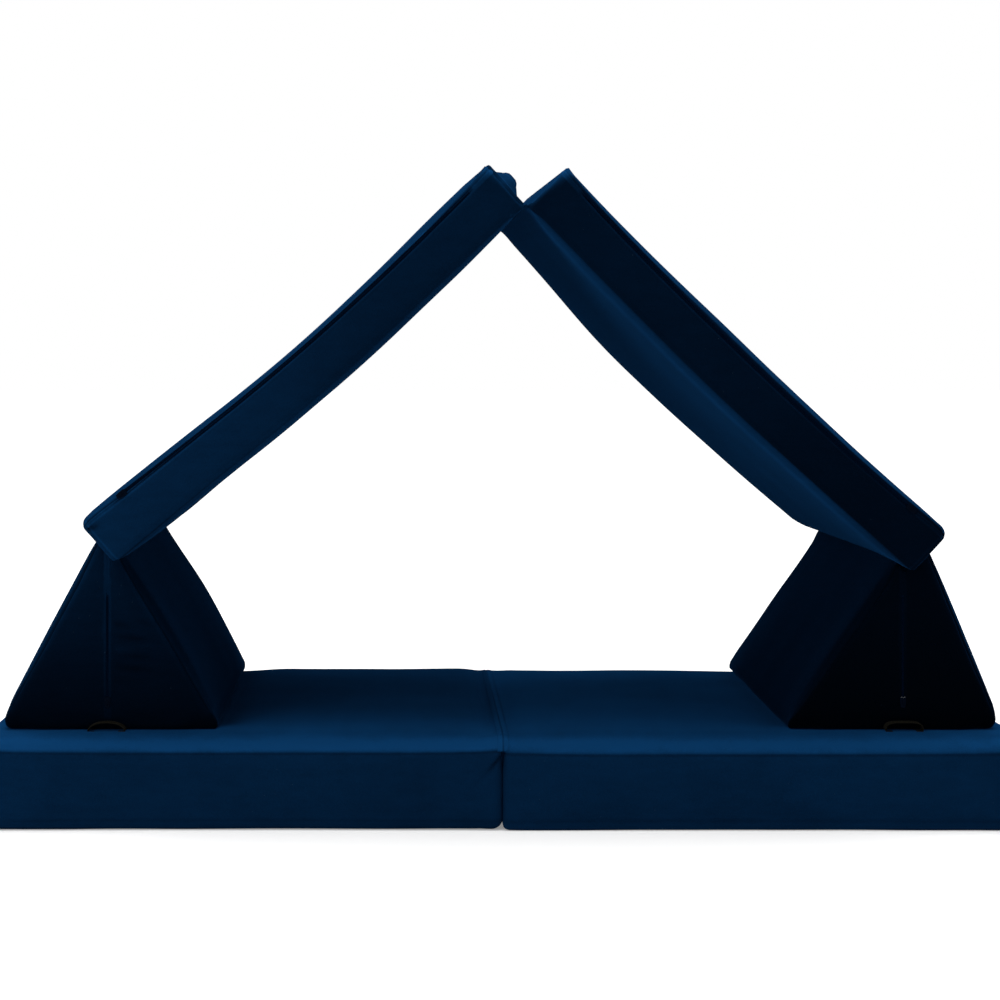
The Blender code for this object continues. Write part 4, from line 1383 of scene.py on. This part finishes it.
def loaded(points, places, side, to_side, bow, foot_reach, top_lift):
    """The wedge's points after its sides bow, its foot spreads and its ends bulge."""
    x, y, z = places.T
    half, deep = BOLSTER_WIDTH / 2, BOLSTER_LENGTH / 2
    height = points[:, 2] / BOLSTER_HEIGHT
    across = y / BOLSTER_LENGTH + 0.5
    width = BOLSTER_WIDTH * np.maximum(1 - height, BOLSTER_LEAST_SHARE)
    bowed = bow * (points[:, 0] * side < 0)
    spread = (BOLSTER_CROWN * np.sqrt(swell(across)) + bowed) * swell(height) * 2 / width
    points[:, 0] *= 1 + spread
    reach = np.where(points[:, 0] * side > 0, foot_reach[0], foot_reach[1])
    reach = reach * rising(np.abs(points[:, 0]), 0, FOOT_SPREADS_FROM)
    reach = reach * np.clip(1 - height, 0, 1) ** FOOT_SPREAD_BEND
    points[:, 0] += reach * np.sign(points[:, 0])
    off_edge = np.minimum(to_side, np.minimum(z, BOLSTER_GRID_HEIGHT - z))
    inside = np.clip(off_edge / BOLSTER_BULGE_FADE, 0, 1)
    points[:, 1] *= 1 + BOLSTER_BULGE * inside * (2 - inside) / deep
    points[:, 2] = np.maximum(points[:, 2], 0.0)
    squeezed = rising(z / BOLSTER_GRID_HEIGHT, *BOLSTER_SQUEEZED_FROM)
    points[:, 2] += top_lift * (squeezed * rising(-x * side, 0, half / 2))
    return points


# %% Build both bolsters
BOLSTER_ZIP_LOW = 0.035
BOLSTER_ZIP_HIGH = 0.205
BOLSTER_ZIP_BAND = 0.012
BOLSTER_ZIP_STEP = 0.0011
BOLSTER_TAPE = -BOLSTER_LENGTH / 2 - BOLSTER_BULGE + ZIP_TAPE_RECESS
# painted highlights beside the seams and on the zip's strip
BOLSTER_SEAM_HIGHLIGHT = 0.5
BOLSTER_SEAM_HIGHLIGHT_OFF = 0.008
BOLSTER_SEAM_HIGHLIGHT_WIDTH = 0.006
BOLSTER_STRIP_HIGHLIGHT = 0.6


def bolster(label, lean, side, slope, middle_x, bow, foot_reach, top_lift, tones, seed):
    """One bolster's cover, from its grid to its painted values."""
    half, deep = BOLSTER_WIDTH / 2, BOLSTER_LENGTH / 2
    top = bolster_top(lean, side, slope)
    band = np.arange(-BOLSTER_ZIP_BAND, BOLSTER_ZIP_BAND, BOLSTER_ZIP_STEP)
    lines = [grid_lines(start, end, (start, end)) for start, end in zip(BOLSTER_LOW, BOLSTER_HIGH)]
    lines[0] = sorted([line for line in lines[0] if abs(line) > BOLSTER_ZIP_BAND] + list(band))
    places, quads = block_grid(lines)
    x, y, z = places.T
    front = y < -deep + TINY
    rise = z / BOLSTER_GRID_HEIGHT
    top_width = np.linalg.norm(top[-1] - top[0])
    narrowed = np.maximum(1 + (top_width / BOLSTER_WIDTH - 1) * rise, BOLSTER_LEAST_SHARE)
    radii = bolster_radii(places, side, narrowed)
    points = wedge_section(rounded(places, BOLSTER_LOW, BOLSTER_HIGH, radii), top)
    points = drawn_over(label + "_trial", points, quads, held_at_foot(z))
    facing = outward(points, quads)
    to_side = (half - np.abs(x)) * narrowed
    to_edge = np.hypot(deep - np.abs(y), np.minimum(to_side, BOLSTER_GRID_HEIGHT - z))
    seam_off = np.hypot(to_edge, np.maximum(BOLSTER_SEAM_FROM - z, 0.0))
    section_x, section_z = points[:, 0].copy(), points[:, 2].copy()
    swelling, shaded = bolster_swelling(places, points, front, side, seam_off, seed)
    points += facing * swelling[:, None]
    points = loaded(points, places, side, to_side, bow, foot_reach, top_lift)
    # the zip up the middle of the front
    past_end = np.maximum(BOLSTER_ZIP_LOW - points[:, 2], points[:, 2] - BOLSTER_ZIP_HIGH)
    heights = open_for_zip(BOLSTER_TAPE - points[:, 1], section_x, past_end, *WIDE_FLAT)
    points[front, 1] = BOLSTER_TAPE - heights[front]
    points += (middle_x, BOLSTER_Y, BOLSTER_FOOT)
    # painted shade: the front darker towards the foot; painted highlights beside the seams, on the
    # zip's strip and where a crease stands out
    front_tone = tones[0] + (tones[1] - tones[0]) * smooth(rise)
    strip = front * (np.abs(section_x) < PLACKET_HALF) * (section_z > BOLSTER_PLACKET_LOW)
    seam_highlight = BOLSTER_SEAM_HIGHLIGHT * ridge(seam_off - BOLSTER_SEAM_HIGHLIGHT_OFF, BOLSTER_SEAM_HIGHLIGHT_WIDTH)
    painted = {"nap_and_painted_light": np.where(front, front_tone, np.where(z < TINY, tones[0], tones[2])),
               "seam": BOLSTER_SEAM_SHARE * ridge(seam_off, SEAM_WIDTH) + np.maximum(shaded, 0),
               "wear_and_highlight": np.maximum(-shaded, 0) + seam_highlight + BOLSTER_STRIP_HIGHLIGHT * strip}
    cover = add_piece(label + "_velour", points, quads, velour, label, painted)
    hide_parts(label + "_cover")


# tones: the front at the foot and at the top, and the other faces; painted light and shade
bolster("bolster_left", BOLSTER_LEFT_LEAN, -1, ROOF_LEFT_SLOPE, BOLSTER_LEFT_X, bow=0.006,
        foot_reach=(0.005, 0.010), top_lift=0.001, tones=(0.10, 0.44, 0.24), seed=41.7)
bolster("bolster_right", BOLSTER_RIGHT_LEAN, 1, ROOF_RIGHT_SLOPE, BOLSTER_RIGHT_X, bow=0.0,
        foot_reach=(-0.010, 0.016), top_lift=0.004, tones=(0.01, 0.07, 0.075), seed=47.2)

# %% [markdown]
# ## Zips
# A nylon coil zip runs in each cover. Its tape is woven, two rows of coil turns lock along its
# middle, and a small slider without a pull rides on them. The teeth could be painted on the tape,
# but they are real little bars here, because light catches each one. A zip is built flat, along its
# own line, and then laid into its cover.

# %% Finishes of the zip
NYLON_DARK = (0.0003, 0.0016, 0.0050, 1.0)
NYLON_LIGHT = (0.0007, 0.0060, 0.0200, 1.0)
ENAMEL_DARK = (0.0007, 0.0022, 0.0060, 1.0)
BARE_METAL = (0.30, 0.31, 0.33, 1.0)
WORN_THROUGH = 1.1


def follow_strap(tree, weave):
    """The weave's threads run along and across the strap's own points."""
    for socket, layer in (("Along", "along"), ("Across", "across")):
        tree.links.new(painted_value(tree, layer), weave.inputs[socket])


nylon, nylon_tree, nylon_shader = start_finish("woven nylon tape")
nylon_weave = place_group(nylon_tree, weave_group, Threads_Per_Metre=1600.0)
follow_strap(nylon_tree, nylon_weave)
nylon_tree.links.new(mix_colours(nylon_tree, nylon_weave.outputs[0], NYLON_DARK, NYLON_LIGHT),
                     nylon_shader.inputs["Base Color"])
nylon_tree.links.new(multiply_add(nylon_tree, nylon_weave.outputs[0], factor=-0.15, offset=0.62),
                     nylon_shader.inputs["Roughness"])
set_inputs(nylon_shader, Specular_IOR_Level=0.0)
add_bump(nylon_tree, nylon_shader, nylon_weave.outputs[0], strength=0.5, distance=0.0003)

enamel, enamel_tree, enamel_shader = start_finish("navy enamelled metal")
enamel_wear = place_group(enamel_tree, wear_and_light_group)
enamel_tree.links.new(painted_value(enamel_tree, "wear_and_highlight"), enamel_wear.inputs["Wear And Highlight"])
worn = multiply_add(enamel_tree, enamel_wear.outputs[0], 1.0, -1.0)
worn = combine(enamel_tree, "MULTIPLY", worn, painted_value(enamel_tree, "wear_and_highlight"))
worn = combine(enamel_tree, "GREATER_THAN", worn, WORN_THROUGH)
enamel_tree.links.new(mix_colours(enamel_tree, worn, ENAMEL_DARK, BARE_METAL),
                      enamel_shader.inputs["Base Color"])
enamel_tree.links.new(worn, enamel_shader.inputs["Metallic"])
enamel_scratches = noise_texture(enamel_tree, scale=500.0, detail=3.0, stretch=(1.0, 1.0, 0.2))
enamel_tree.links.new(multiply_add(enamel_tree, enamel_scratches, factor=0.2, offset=0.42),
                      enamel_shader.inputs["Roughness"])
set_inputs(enamel_shader, Specular_IOR_Level=0.005)
add_bump(enamel_tree, enamel_shader, enamel_scratches, strength=0.15, distance=0.0002)

# %% Skins over rings of points


def skinned(rings):
    """A closed skin over rings of equal size: its points and its faces, facing out."""
    count = len(rings[0])
    points = np.concatenate([np.asarray(ring, float) for ring in rings])
    faces = [list(range(count))[::-1], list(range(len(points) - count, len(points)))]
    for level in range(len(rings) - 1):
        start = level * count
        for step in range(count):
            after = (step + 1) % count
            faces.append([start + step, start + after, start + count + after,
                          start + count + step])
    return points, faces


def turned_out(points, faces):
    """The faces as they are, or reversed where they enclose the piece from inside."""
    volume = 0.0
    for face in faces:
        for second, third in zip(face[1:], face[2:]):
            volume += np.dot(points[face[0]], np.cross(points[second], points[third]))
    return faces if volume > 0 else [face[::-1] for face in faces]


def joined(parts):
    """Several skins as one list of points and one of faces."""
    points, faces, first = [], [], 0
    for part_points, part_faces in parts:
        points.append(part_points)
        faces += [[first + index for index in face] for face in part_faces]
        first += len(part_points)
    return np.concatenate(points), faces


def ring_of(width, low, high, along, corner):
    """A flat ring across a strip, with its corners taken off: along, across and up."""
    half = width / 2
    section = ((-half, low + corner), (-half + corner, low), (half - corner, low),
               (half, low + corner), (half, high - corner), (half - corner, high),
               (-half + corner, high), (-half, high - corner))
    return [(along, across, up) for across, up in section]


# %% Tape, teeth and slider, laid flat
TAPE_WIDTH = 0.0064
TAPE_THICK = 0.0011
TAPE_EDGE = 0.0002
TAPE_STEP = 0.012
TOOTH_PITCH = 0.0016
TOOTH_ALONG = 0.0009
TOOTH_OUT = 0.0024
TOOTH_LAP = 0.0005
TOOTH_HIGH = 0.0010
TOOTH_TAPER = 0.6
STOP_LENGTH = 0.0024
SLIDER_LENGTH = 0.016
SLIDER_LOW = 0.0015
SLIDER_STATIONS = ((0.0, 0.0052), (0.0006, 0.0064), (0.003, 0.0076), (0.009, 0.0088),
                   (0.0125, 0.0095), (0.0148, 0.0090), (0.016, 0.0070))
SLIDER_PLATE = 0.0017
SLIDER_CORNER = 0.0004
SLIDER_RUB_WIDTH = 0.002
SLIDER_BRIDGE = ((0.0030, 0.0), (0.0042, 0.0011), (0.0060, 0.0014), (0.0095, 0.0014),
                 (0.0112, 0.0011), (0.0122, 0.0))
SLIDER_BRIDGE_WIDTH = 0.0020
SLIDER_BRIDGE_THICK = 0.0005
SLIDER_BRIDGE_CORNER = 0.0002


def tooth(along, inner, outer):
    """One turn of the coil: a small bar with a narrower crest."""
    ring_low = [(along - TOOTH_ALONG / 2, inner, 0), (along + TOOTH_ALONG / 2, inner, 0),
                (along + TOOTH_ALONG / 2, outer, 0), (along - TOOTH_ALONG / 2, outer, 0)]
    centre = np.array((along, (inner + outer) / 2, 0))
    crest = centre + (np.array(ring_low) - centre) * TOOTH_TAPER + (0, 0, TOOTH_HIGH)
    return skinned([ring_low, crest])


def zip_strip(length):
    """A tape with its rows of teeth and a stop at each end, lying flat along its own line."""
    stations = np.linspace(0, length, max(2, round(length / TAPE_STEP)))
    parts = [skinned([ring_of(TAPE_WIDTH, -TAPE_THICK, 0.0, along, TAPE_EDGE)
                      for along in stations])]
    for number in range(int((length - 2 * STOP_LENGTH) / TOOTH_PITCH)):
        along = STOP_LENGTH + (number + 0.5) * TOOTH_PITCH
        parts.append(tooth(along - TOOTH_PITCH / 4, -TOOTH_OUT, TOOTH_LAP))
        parts.append(tooth(along + TOOTH_PITCH / 4, -TOOTH_LAP, TOOTH_OUT))
    for along in (0.0, length - STOP_LENGTH):
        parts.append(skinned([ring_of(2 * TOOTH_OUT, 0.0, TOOTH_HIGH, place, TAPE_EDGE)
                              for place in (along, along + STOP_LENGTH)]))
    return joined(parts)


def slider_body():
    """A flared plate with a nose, and the bridge on top of it."""
    top = SLIDER_LOW + SLIDER_PLATE
    plate = skinned([ring_of(width, SLIDER_LOW, top, along, SLIDER_CORNER)
                     for along, width in SLIDER_STATIONS])
    bridge = skinned([ring_of(SLIDER_BRIDGE_WIDTH, top + rise - SLIDER_BRIDGE_THICK, top + rise,
                              along, SLIDER_BRIDGE_CORNER) for along, rise in SLIDER_BRIDGE])
    return joined([plate, bridge])


def lay_zip(label, length, body, lay):
    """The flat zip and its slider, laid where the cover opens."""
    flat, faces = zip_strip(length)
    laid = lay(flat)
    strip = add_piece(label + "_zip_coil", laid, turned_out(laid, faces), nylon, body,
                      {"along": flat[:, 0], "across": flat[:, 1]})
    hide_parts(label + "_zip")
    strip.data.shade_flat()
    flat, faces = slider_body()
    laid = lay(flat)
    end_gap = np.minimum(flat[:, 0], SLIDER_LENGTH - flat[:, 0])
    slider = add_piece(label + "_zip_runner", laid, turned_out(laid, faces), enamel,
                       label + "_slider",
                       {"wear_and_highlight": ridge(end_gap, SLIDER_RUB_WIDTH)})
    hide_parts(label + "_zip_slider")
    slider.data.shade_flat()


# %% Lay the six zips


def lay_in_base(side):
    """Along the middle of a mat's back, from its outer end to the fold."""
    outer = BASE_LENGTH - BASE_ZIP_FROM_END
    return lambda flat: np.stack([side * (outer - flat[:, 0]), BASE_TAPE + flat[:, 2],
                                  BASE_THICK / 2 + flat[:, 1]], axis=1)


def lay_in_roof(side, slope):
    """Below the top edge of a panel's front, with the panel's own dip."""
    def lay(flat):
        along = ROOF_LENGTH - ROOF_ZIP_FROM_END - flat[:, 0]
        level = ROOF_SLIT - ROOF_SAG * arch(along / ROOF_LENGTH)
        return place_on_roof(np.stack([along, ROOF_TAPE - flat[:, 2], level + flat[:, 1]], axis=1),
                             side, slope)
    return lay


def lay_in_bolster(middle_x):
    """Up the middle of a bolster's front."""
    return lambda flat: np.stack([middle_x + flat[:, 1], BOLSTER_Y + BOLSTER_TAPE - flat[:, 2],
                                  BOLSTER_FOOT + BOLSTER_ZIP_LOW + flat[:, 0]], axis=1)


base_zip_length = BASE_LENGTH - BASE_ZIP_FROM_FOLD - BASE_ZIP_FROM_END
roof_zip_length = ROOF_LENGTH - ROOF_ZIP_FROM_FOLD - ROOF_ZIP_FROM_END
bolster_zip_length = BOLSTER_ZIP_HIGH - BOLSTER_ZIP_LOW
lay_zip("base_right", base_zip_length, "base_right_half", lay_in_base(1))
lay_zip("base_left", base_zip_length, "base_left_half", lay_in_base(-1))
lay_zip("roof_left", roof_zip_length, "roof_left_panel", lay_in_roof(-1, ROOF_LEFT_SLOPE))
lay_zip("roof_right", roof_zip_length, "roof_right_panel", lay_in_roof(1, ROOF_RIGHT_SLOPE))
lay_zip("bolster_left", bolster_zip_length, "bolster_left", lay_in_bolster(BOLSTER_LEFT_X))
lay_zip("bolster_right", bolster_zip_length, "bolster_right", lay_in_bolster(BOLSTER_RIGHT_X))

# %% [markdown]
# ## Grab loops
# A short strap of dark webbing is sewn into the foot of each bolster's front, and it stands up as a
# low arch. It could be a bent box, but a strap has rounded edges and a weave, so it is swept along
# its path with a thin eight-sided section, and the weave follows the strap.

# %% Webbing
WEBBING_DARK = (0.0040, 0.0036, 0.0026, 1.0)
WEBBING_LIGHT = (0.0120, 0.0115, 0.0085, 1.0)
LOOP_HALF = 0.028
LOOP_RISE = 0.015
LOOP_THICK = 0.0017
LOOP_OUT = 0.020
LOOP_IN = 0.014
LOOP_TUCK = 0.010
LOOP_STEPS = 28
LOOP_CORNER = 0.0007

webbing, webbing_tree, webbing_shader = start_finish("woven webbing")
webbing_weave = place_group(webbing_tree, weave_group, Threads_Per_Metre=1100.0)
follow_strap(webbing_tree, webbing_weave)
webbing_tone = combine(webbing_tree, "MULTIPLY", webbing_weave.outputs[0],
                       noise_texture(webbing_tree, scale=120.0, detail=2.0))
webbing_tree.links.new(mix_colours(webbing_tree, webbing_tone, WEBBING_DARK, WEBBING_LIGHT),
                       webbing_shader.inputs["Base Color"])
webbing_tree.links.new(multiply_add(webbing_tree, webbing_tone, factor=-0.2, offset=0.85),
                       webbing_shader.inputs["Roughness"])
set_inputs(webbing_shader, Specular_IOR_Level=0.02)
add_bump(webbing_tree, webbing_shader, webbing_weave.outputs[0], strength=0.8, distance=0.0005)


def grab_loop(label, middle_x, squareness):
    """The strap's middle line runs up, over and down; each end is tucked in under the arch."""
    rise = LOOP_RISE - LOOP_THICK
    low = LOOP_THICK / 2
    line = [(-LOOP_HALF + LOOP_TUCK, low)]
    for angle in np.linspace(math.pi, 0, LOOP_STEPS):
        across, up = math.cos(angle), math.sin(angle)
        line.append((LOOP_HALF * math.copysign(abs(across) ** squareness, across),
                     low + rise * up ** squareness))
    line.append((LOOP_HALF - LOOP_TUCK, low))
    line = np.array(line)
    run = np.gradient(line, axis=0)
    run /= np.linalg.norm(run, axis=1, keepdims=True)
    lengths = np.concatenate(([0.0], np.cumsum(np.linalg.norm(np.diff(line, axis=0), axis=1))))
    face = BOLSTER_Y - BOLSTER_LENGTH / 2
    rings, woven = [], []
    for place, direction, length in zip(line, run, lengths):
        ring = np.array(ring_of(LOOP_OUT + LOOP_IN, -LOOP_THICK / 2, LOOP_THICK / 2, length,
                                LOOP_CORNER))
        woven.append(ring)
        up = np.array((-direction[1], direction[0]))
        flat = place + ring[:, 2:] * up
        rings.append(np.stack([middle_x + flat[:, 0],
                               face + (LOOP_IN - LOOP_OUT) / 2 + ring[:, 1],
                               BOLSTER_FOOT + np.maximum(flat[:, 1], 0.0)], axis=1))
    points, faces = skinned(rings)
    woven = np.concatenate(woven)
    loop = add_piece(label + "_grab_loop", points, turned_out(points, faces), webbing, label,
                     {"along": woven[:, 0], "across": woven[:, 1]})
    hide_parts(label + "_loop")


grab_loop("bolster_left", BOLSTER_LEFT_X, squareness=1.0)
grab_loop("bolster_right", BOLSTER_RIGHT_X, squareness=0.55)

# %% [markdown]
# ## The folds' seams
# The thick mat's top cloth runs on across its fold, stitched down along the fold line, so the gap
# between the halves only opens below it. It is modelled as a strip that follows the top and both
# bends. The roof's fold is on the underside: there the two covers are sewn edge to edge in a thin
# rolled seam, a tube whose radius wavers with the stitches.

# %% The strip over the thick mat's fold
STRIP_FLAT_HALF = 0.004
STRIP_LINES = (0.0, 0.0005, 0.0011, 0.0019, 0.003, STRIP_FLAT_HALF, 0.0055, 0.007, 0.0085)
STRIP_RISE = 0.0007
STRIP_EDGE_RISE = 0.0001
STRIP_UNDER = -0.0008
STRIP_LINE_DEPTH = 0.0006
STRIP_LINE_WIDTH = 0.0010
STRIP_DROP = 0.0215
STRIP_BEND_STEPS = 14
STRIP_TOP_STEPS = 150
# painted shade along the stitched line, fading towards the back
STRIP_LINE_SHADE = 0.8
STRIP_LINE_FADE = 0.8
STRIP_LINE_FADES = (-0.05, 0.2)
STRIP_TONE_WIDTH = 0.004


def base_fold_strip():
    """A thin skin over the fold: up one bend, over the top and down the other."""
    half_across = np.array(STRIP_LINES)
    across = np.concatenate((-half_across[:0:-1], half_across))
    rise = STRIP_RISE * (1 - smooth((np.abs(across) - STRIP_FLAT_HALF) / STRIP_FLAT_HALF))
    rise += STRIP_EDGE_RISE - STRIP_LINE_DEPTH * ridge(across, STRIP_LINE_WIDTH)
    across = np.concatenate((across, across[::-1]))
    rise = np.concatenate((rise, np.full(len(rise), STRIP_UNDER)))
    # the way along it
    steepest = math.acos(1 - STRIP_DROP / BASE_TOP_ROUND)
    inner = BASE_DEPTH / 2 - BASE_TOP_ROUND
    bend = np.linspace(steepest, 0, STRIP_BEND_STEPS)
    level = np.linspace(-inner, inner, STRIP_TOP_STEPS)[1:-1]
    tilts = np.concatenate((-bend, 0 * level, bend[::-1]))
    depths = np.concatenate((np.full(len(bend), -inner), level, np.full(len(bend), inner)))
    rings, painted_tones, seams, wear_and_highlights = [], [], [], []
    for tilt, depth in zip(tilts, depths):
        off_centre = BASE_TOP_ROUND + rise
        rings.append(np.stack([across, depth + off_centre * math.sin(tilt),
                               BASE_THICK - BASE_TOP_ROUND + off_centre * math.cos(tilt)], axis=1))
        # the same painted light, shade and highlight as the covers on both sides of it
        turned = math.tan(min(abs(tilt), math.pi / 2 - abs(tilt)))
        block_y = depth + math.copysign(BASE_TOP_ROUND * min(math.tan(abs(tilt)), 1.0), tilt)
        edge = BASE_TOP_ROUND * (1 - turned) + inner - abs(depth)
        to_right = smooth(across / STRIP_TONE_WIDTH + 0.5)
        left_tone, right_tone = (base_top_tone(block_y, tones)
                                 for tones in (BASE_LEFT_TONES, BASE_RIGHT_TONES))
        painted_tones.append(left_tone + (right_tone - left_tone) * to_right)
        line_shade = STRIP_LINE_SHADE * (1 - STRIP_LINE_FADE * rising(depth, *STRIP_LINE_FADES))
        seams.append(line_shade * ridge(across, STRIP_LINE_WIDTH))
        wear_and_highlights.append(np.full(len(across), BASE_WEAR_AND_HIGHLIGHT * ridge(edge, BASE_WEAR_AND_HIGHLIGHT_WIDTH)))
    points, faces = skinned(rings)
    strip = add_piece("base_fold_strip", points, turned_out(points, faces), velour, None,
                      {"nap_and_painted_light": np.concatenate(painted_tones), "seam": np.concatenate(seams),
                                      "wear_and_highlight": np.concatenate(wear_and_highlights)})
    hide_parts("base_fold_seam")
    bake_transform(strip)


base_fold_strip()

# %% The rolled seam under the roof's fold
ROLL_RADIUS = 0.0030
ROLL_SHORT = 0.004
ROLL_STEPS = 240
ROLL_SIDES = 10
ROLL_GATHER = 0.14
ROLL_STITCH = 0.004
ROLL_TONE = 0.7


def rolled_seam():
    """A tube along the roof's fold, gathered by each stitch."""
    angles = np.linspace(0, 2 * math.pi, ROLL_SIDES, endpoint=False)
    half = ROOF_DEPTH / 2 - ROLL_SHORT
    rings = []
    for place in np.linspace(-half, half, ROLL_STEPS):
        wave = 1 + math.sin(place / ROLL_STITCH * math.pi)
        gathered = ROLL_RADIUS * (1 - ROLL_GATHER * wave / 2)
        twist = -ROOF_TWIST * place / (ROOF_DEPTH / 2)
        rings.append(np.stack([ROOF_FOLD.x + twist + gathered * np.cos(angles),
                               np.full(len(angles), place),
                               ROOF_FOLD.z + gathered * np.sin(angles)], axis=1))
    points, faces = skinned(rings)
    plain = np.zeros(len(points))
    seam = add_piece("roof_rolled_seam", points, turned_out(points, faces), velour, "roof_ridge",
                     {"nap_and_painted_light": plain + ROLL_TONE, "seam": plain, "wear_and_highlight": plain})
    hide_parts("roof_fold_seam")


rolled_seam()

# %% [markdown]
# ## The foam inside
# Each cover is filled by one block of pale foam, cut from a sheet with a wire, so its faces are
# flat and a little rough. It only shows when a cover is taken off, but the sofa is made of it. A
# plain block would do; this one follows its cover's form, a little inside it.

# %% Foam
FOAM_INSET = 0.016
FOAM_ROUND = 0.012
FOAM_STEPS = (26, 26, 7)
FOAM_ROUGH = 0.0006
FOAM_ROUGH_SCALE = 40.0
FOAM_PALE = (0.80, 0.76, 0.64, 1.0)
FOAM_SHADE = (0.66, 0.60, 0.46, 1.0)

foam, foam_tree, foam_shader = start_finish("open cell foam")
cells = noise_texture(foam_tree, scale=900.0, detail=2.0)
blotches = noise_texture(foam_tree, scale=9.0, detail=3.0)
foam_tree.links.new(mix_colours(foam_tree, combine(foam_tree, "MULTIPLY", cells, blotches),
                                FOAM_PALE, FOAM_SHADE), foam_shader.inputs["Base Color"])
foam_tree.links.new(multiply_add(foam_tree, cells, factor=0.1, offset=0.86),
                    foam_shader.inputs["Roughness"])
add_bump(foam_tree, foam_shader, cells, strength=0.5, distance=0.0008)


def foam_core(label, side, body, low, high, place):
    """One block of foam, a little inside its cover and with the cover's form."""
    low, high = np.array(low) + FOAM_INSET, np.array(high) - FOAM_INSET
    lines = [list(np.linspace(start, end, steps))
             for start, end, steps in zip(low, high, FOAM_STEPS)]
    places, quads = block_grid(lines)
    points = rounded(places, low, high, np.full((len(places), 3), FOAM_ROUND))
    rough = FOAM_ROUGH * field(places, FOAM_ROUGH_SCALE, len(label))
    points += outward(points, quads) * rough[:, None]
    core = add_piece(label + "_core", place(points), facing_out(quads, side), foam, body)
    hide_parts(label + "_foam")


for side, label in ((1, "base_right"), (-1, "base_left")):
    foam_core(label, side, label + "_half", (FIT, *BASE_LOW[1:]), BASE_HIGH,
              lambda points: place_on_base(points, side))
for side, label, slope in ((-1, "roof_left", ROOF_LEFT_SLOPE), (1, "roof_right", ROOF_RIGHT_SLOPE)):
    foam_core(label, side, label + "_panel", (FIT, *ROOF_LOW[1:]), ROOF_HIGH,
              lambda points: place_on_roof(dip_roof(points), side, slope))
for label, lean, side, slope, middle_x in (
        ("bolster_left", BOLSTER_LEFT_LEAN, -1, ROOF_LEFT_SLOPE, BOLSTER_LEFT_X),
        ("bolster_right", BOLSTER_RIGHT_LEAN, 1, ROOF_RIGHT_SLOPE, BOLSTER_RIGHT_X)):
    wedge_top = bolster_top(lean, side, slope)
    wedge_place = np.array((middle_x, BOLSTER_Y, BOLSTER_FOOT))
    foam_core(label, 1, label, BOLSTER_LOW, BOLSTER_HIGH,
              lambda points: wedge_section(points, wedge_top) + wedge_place)
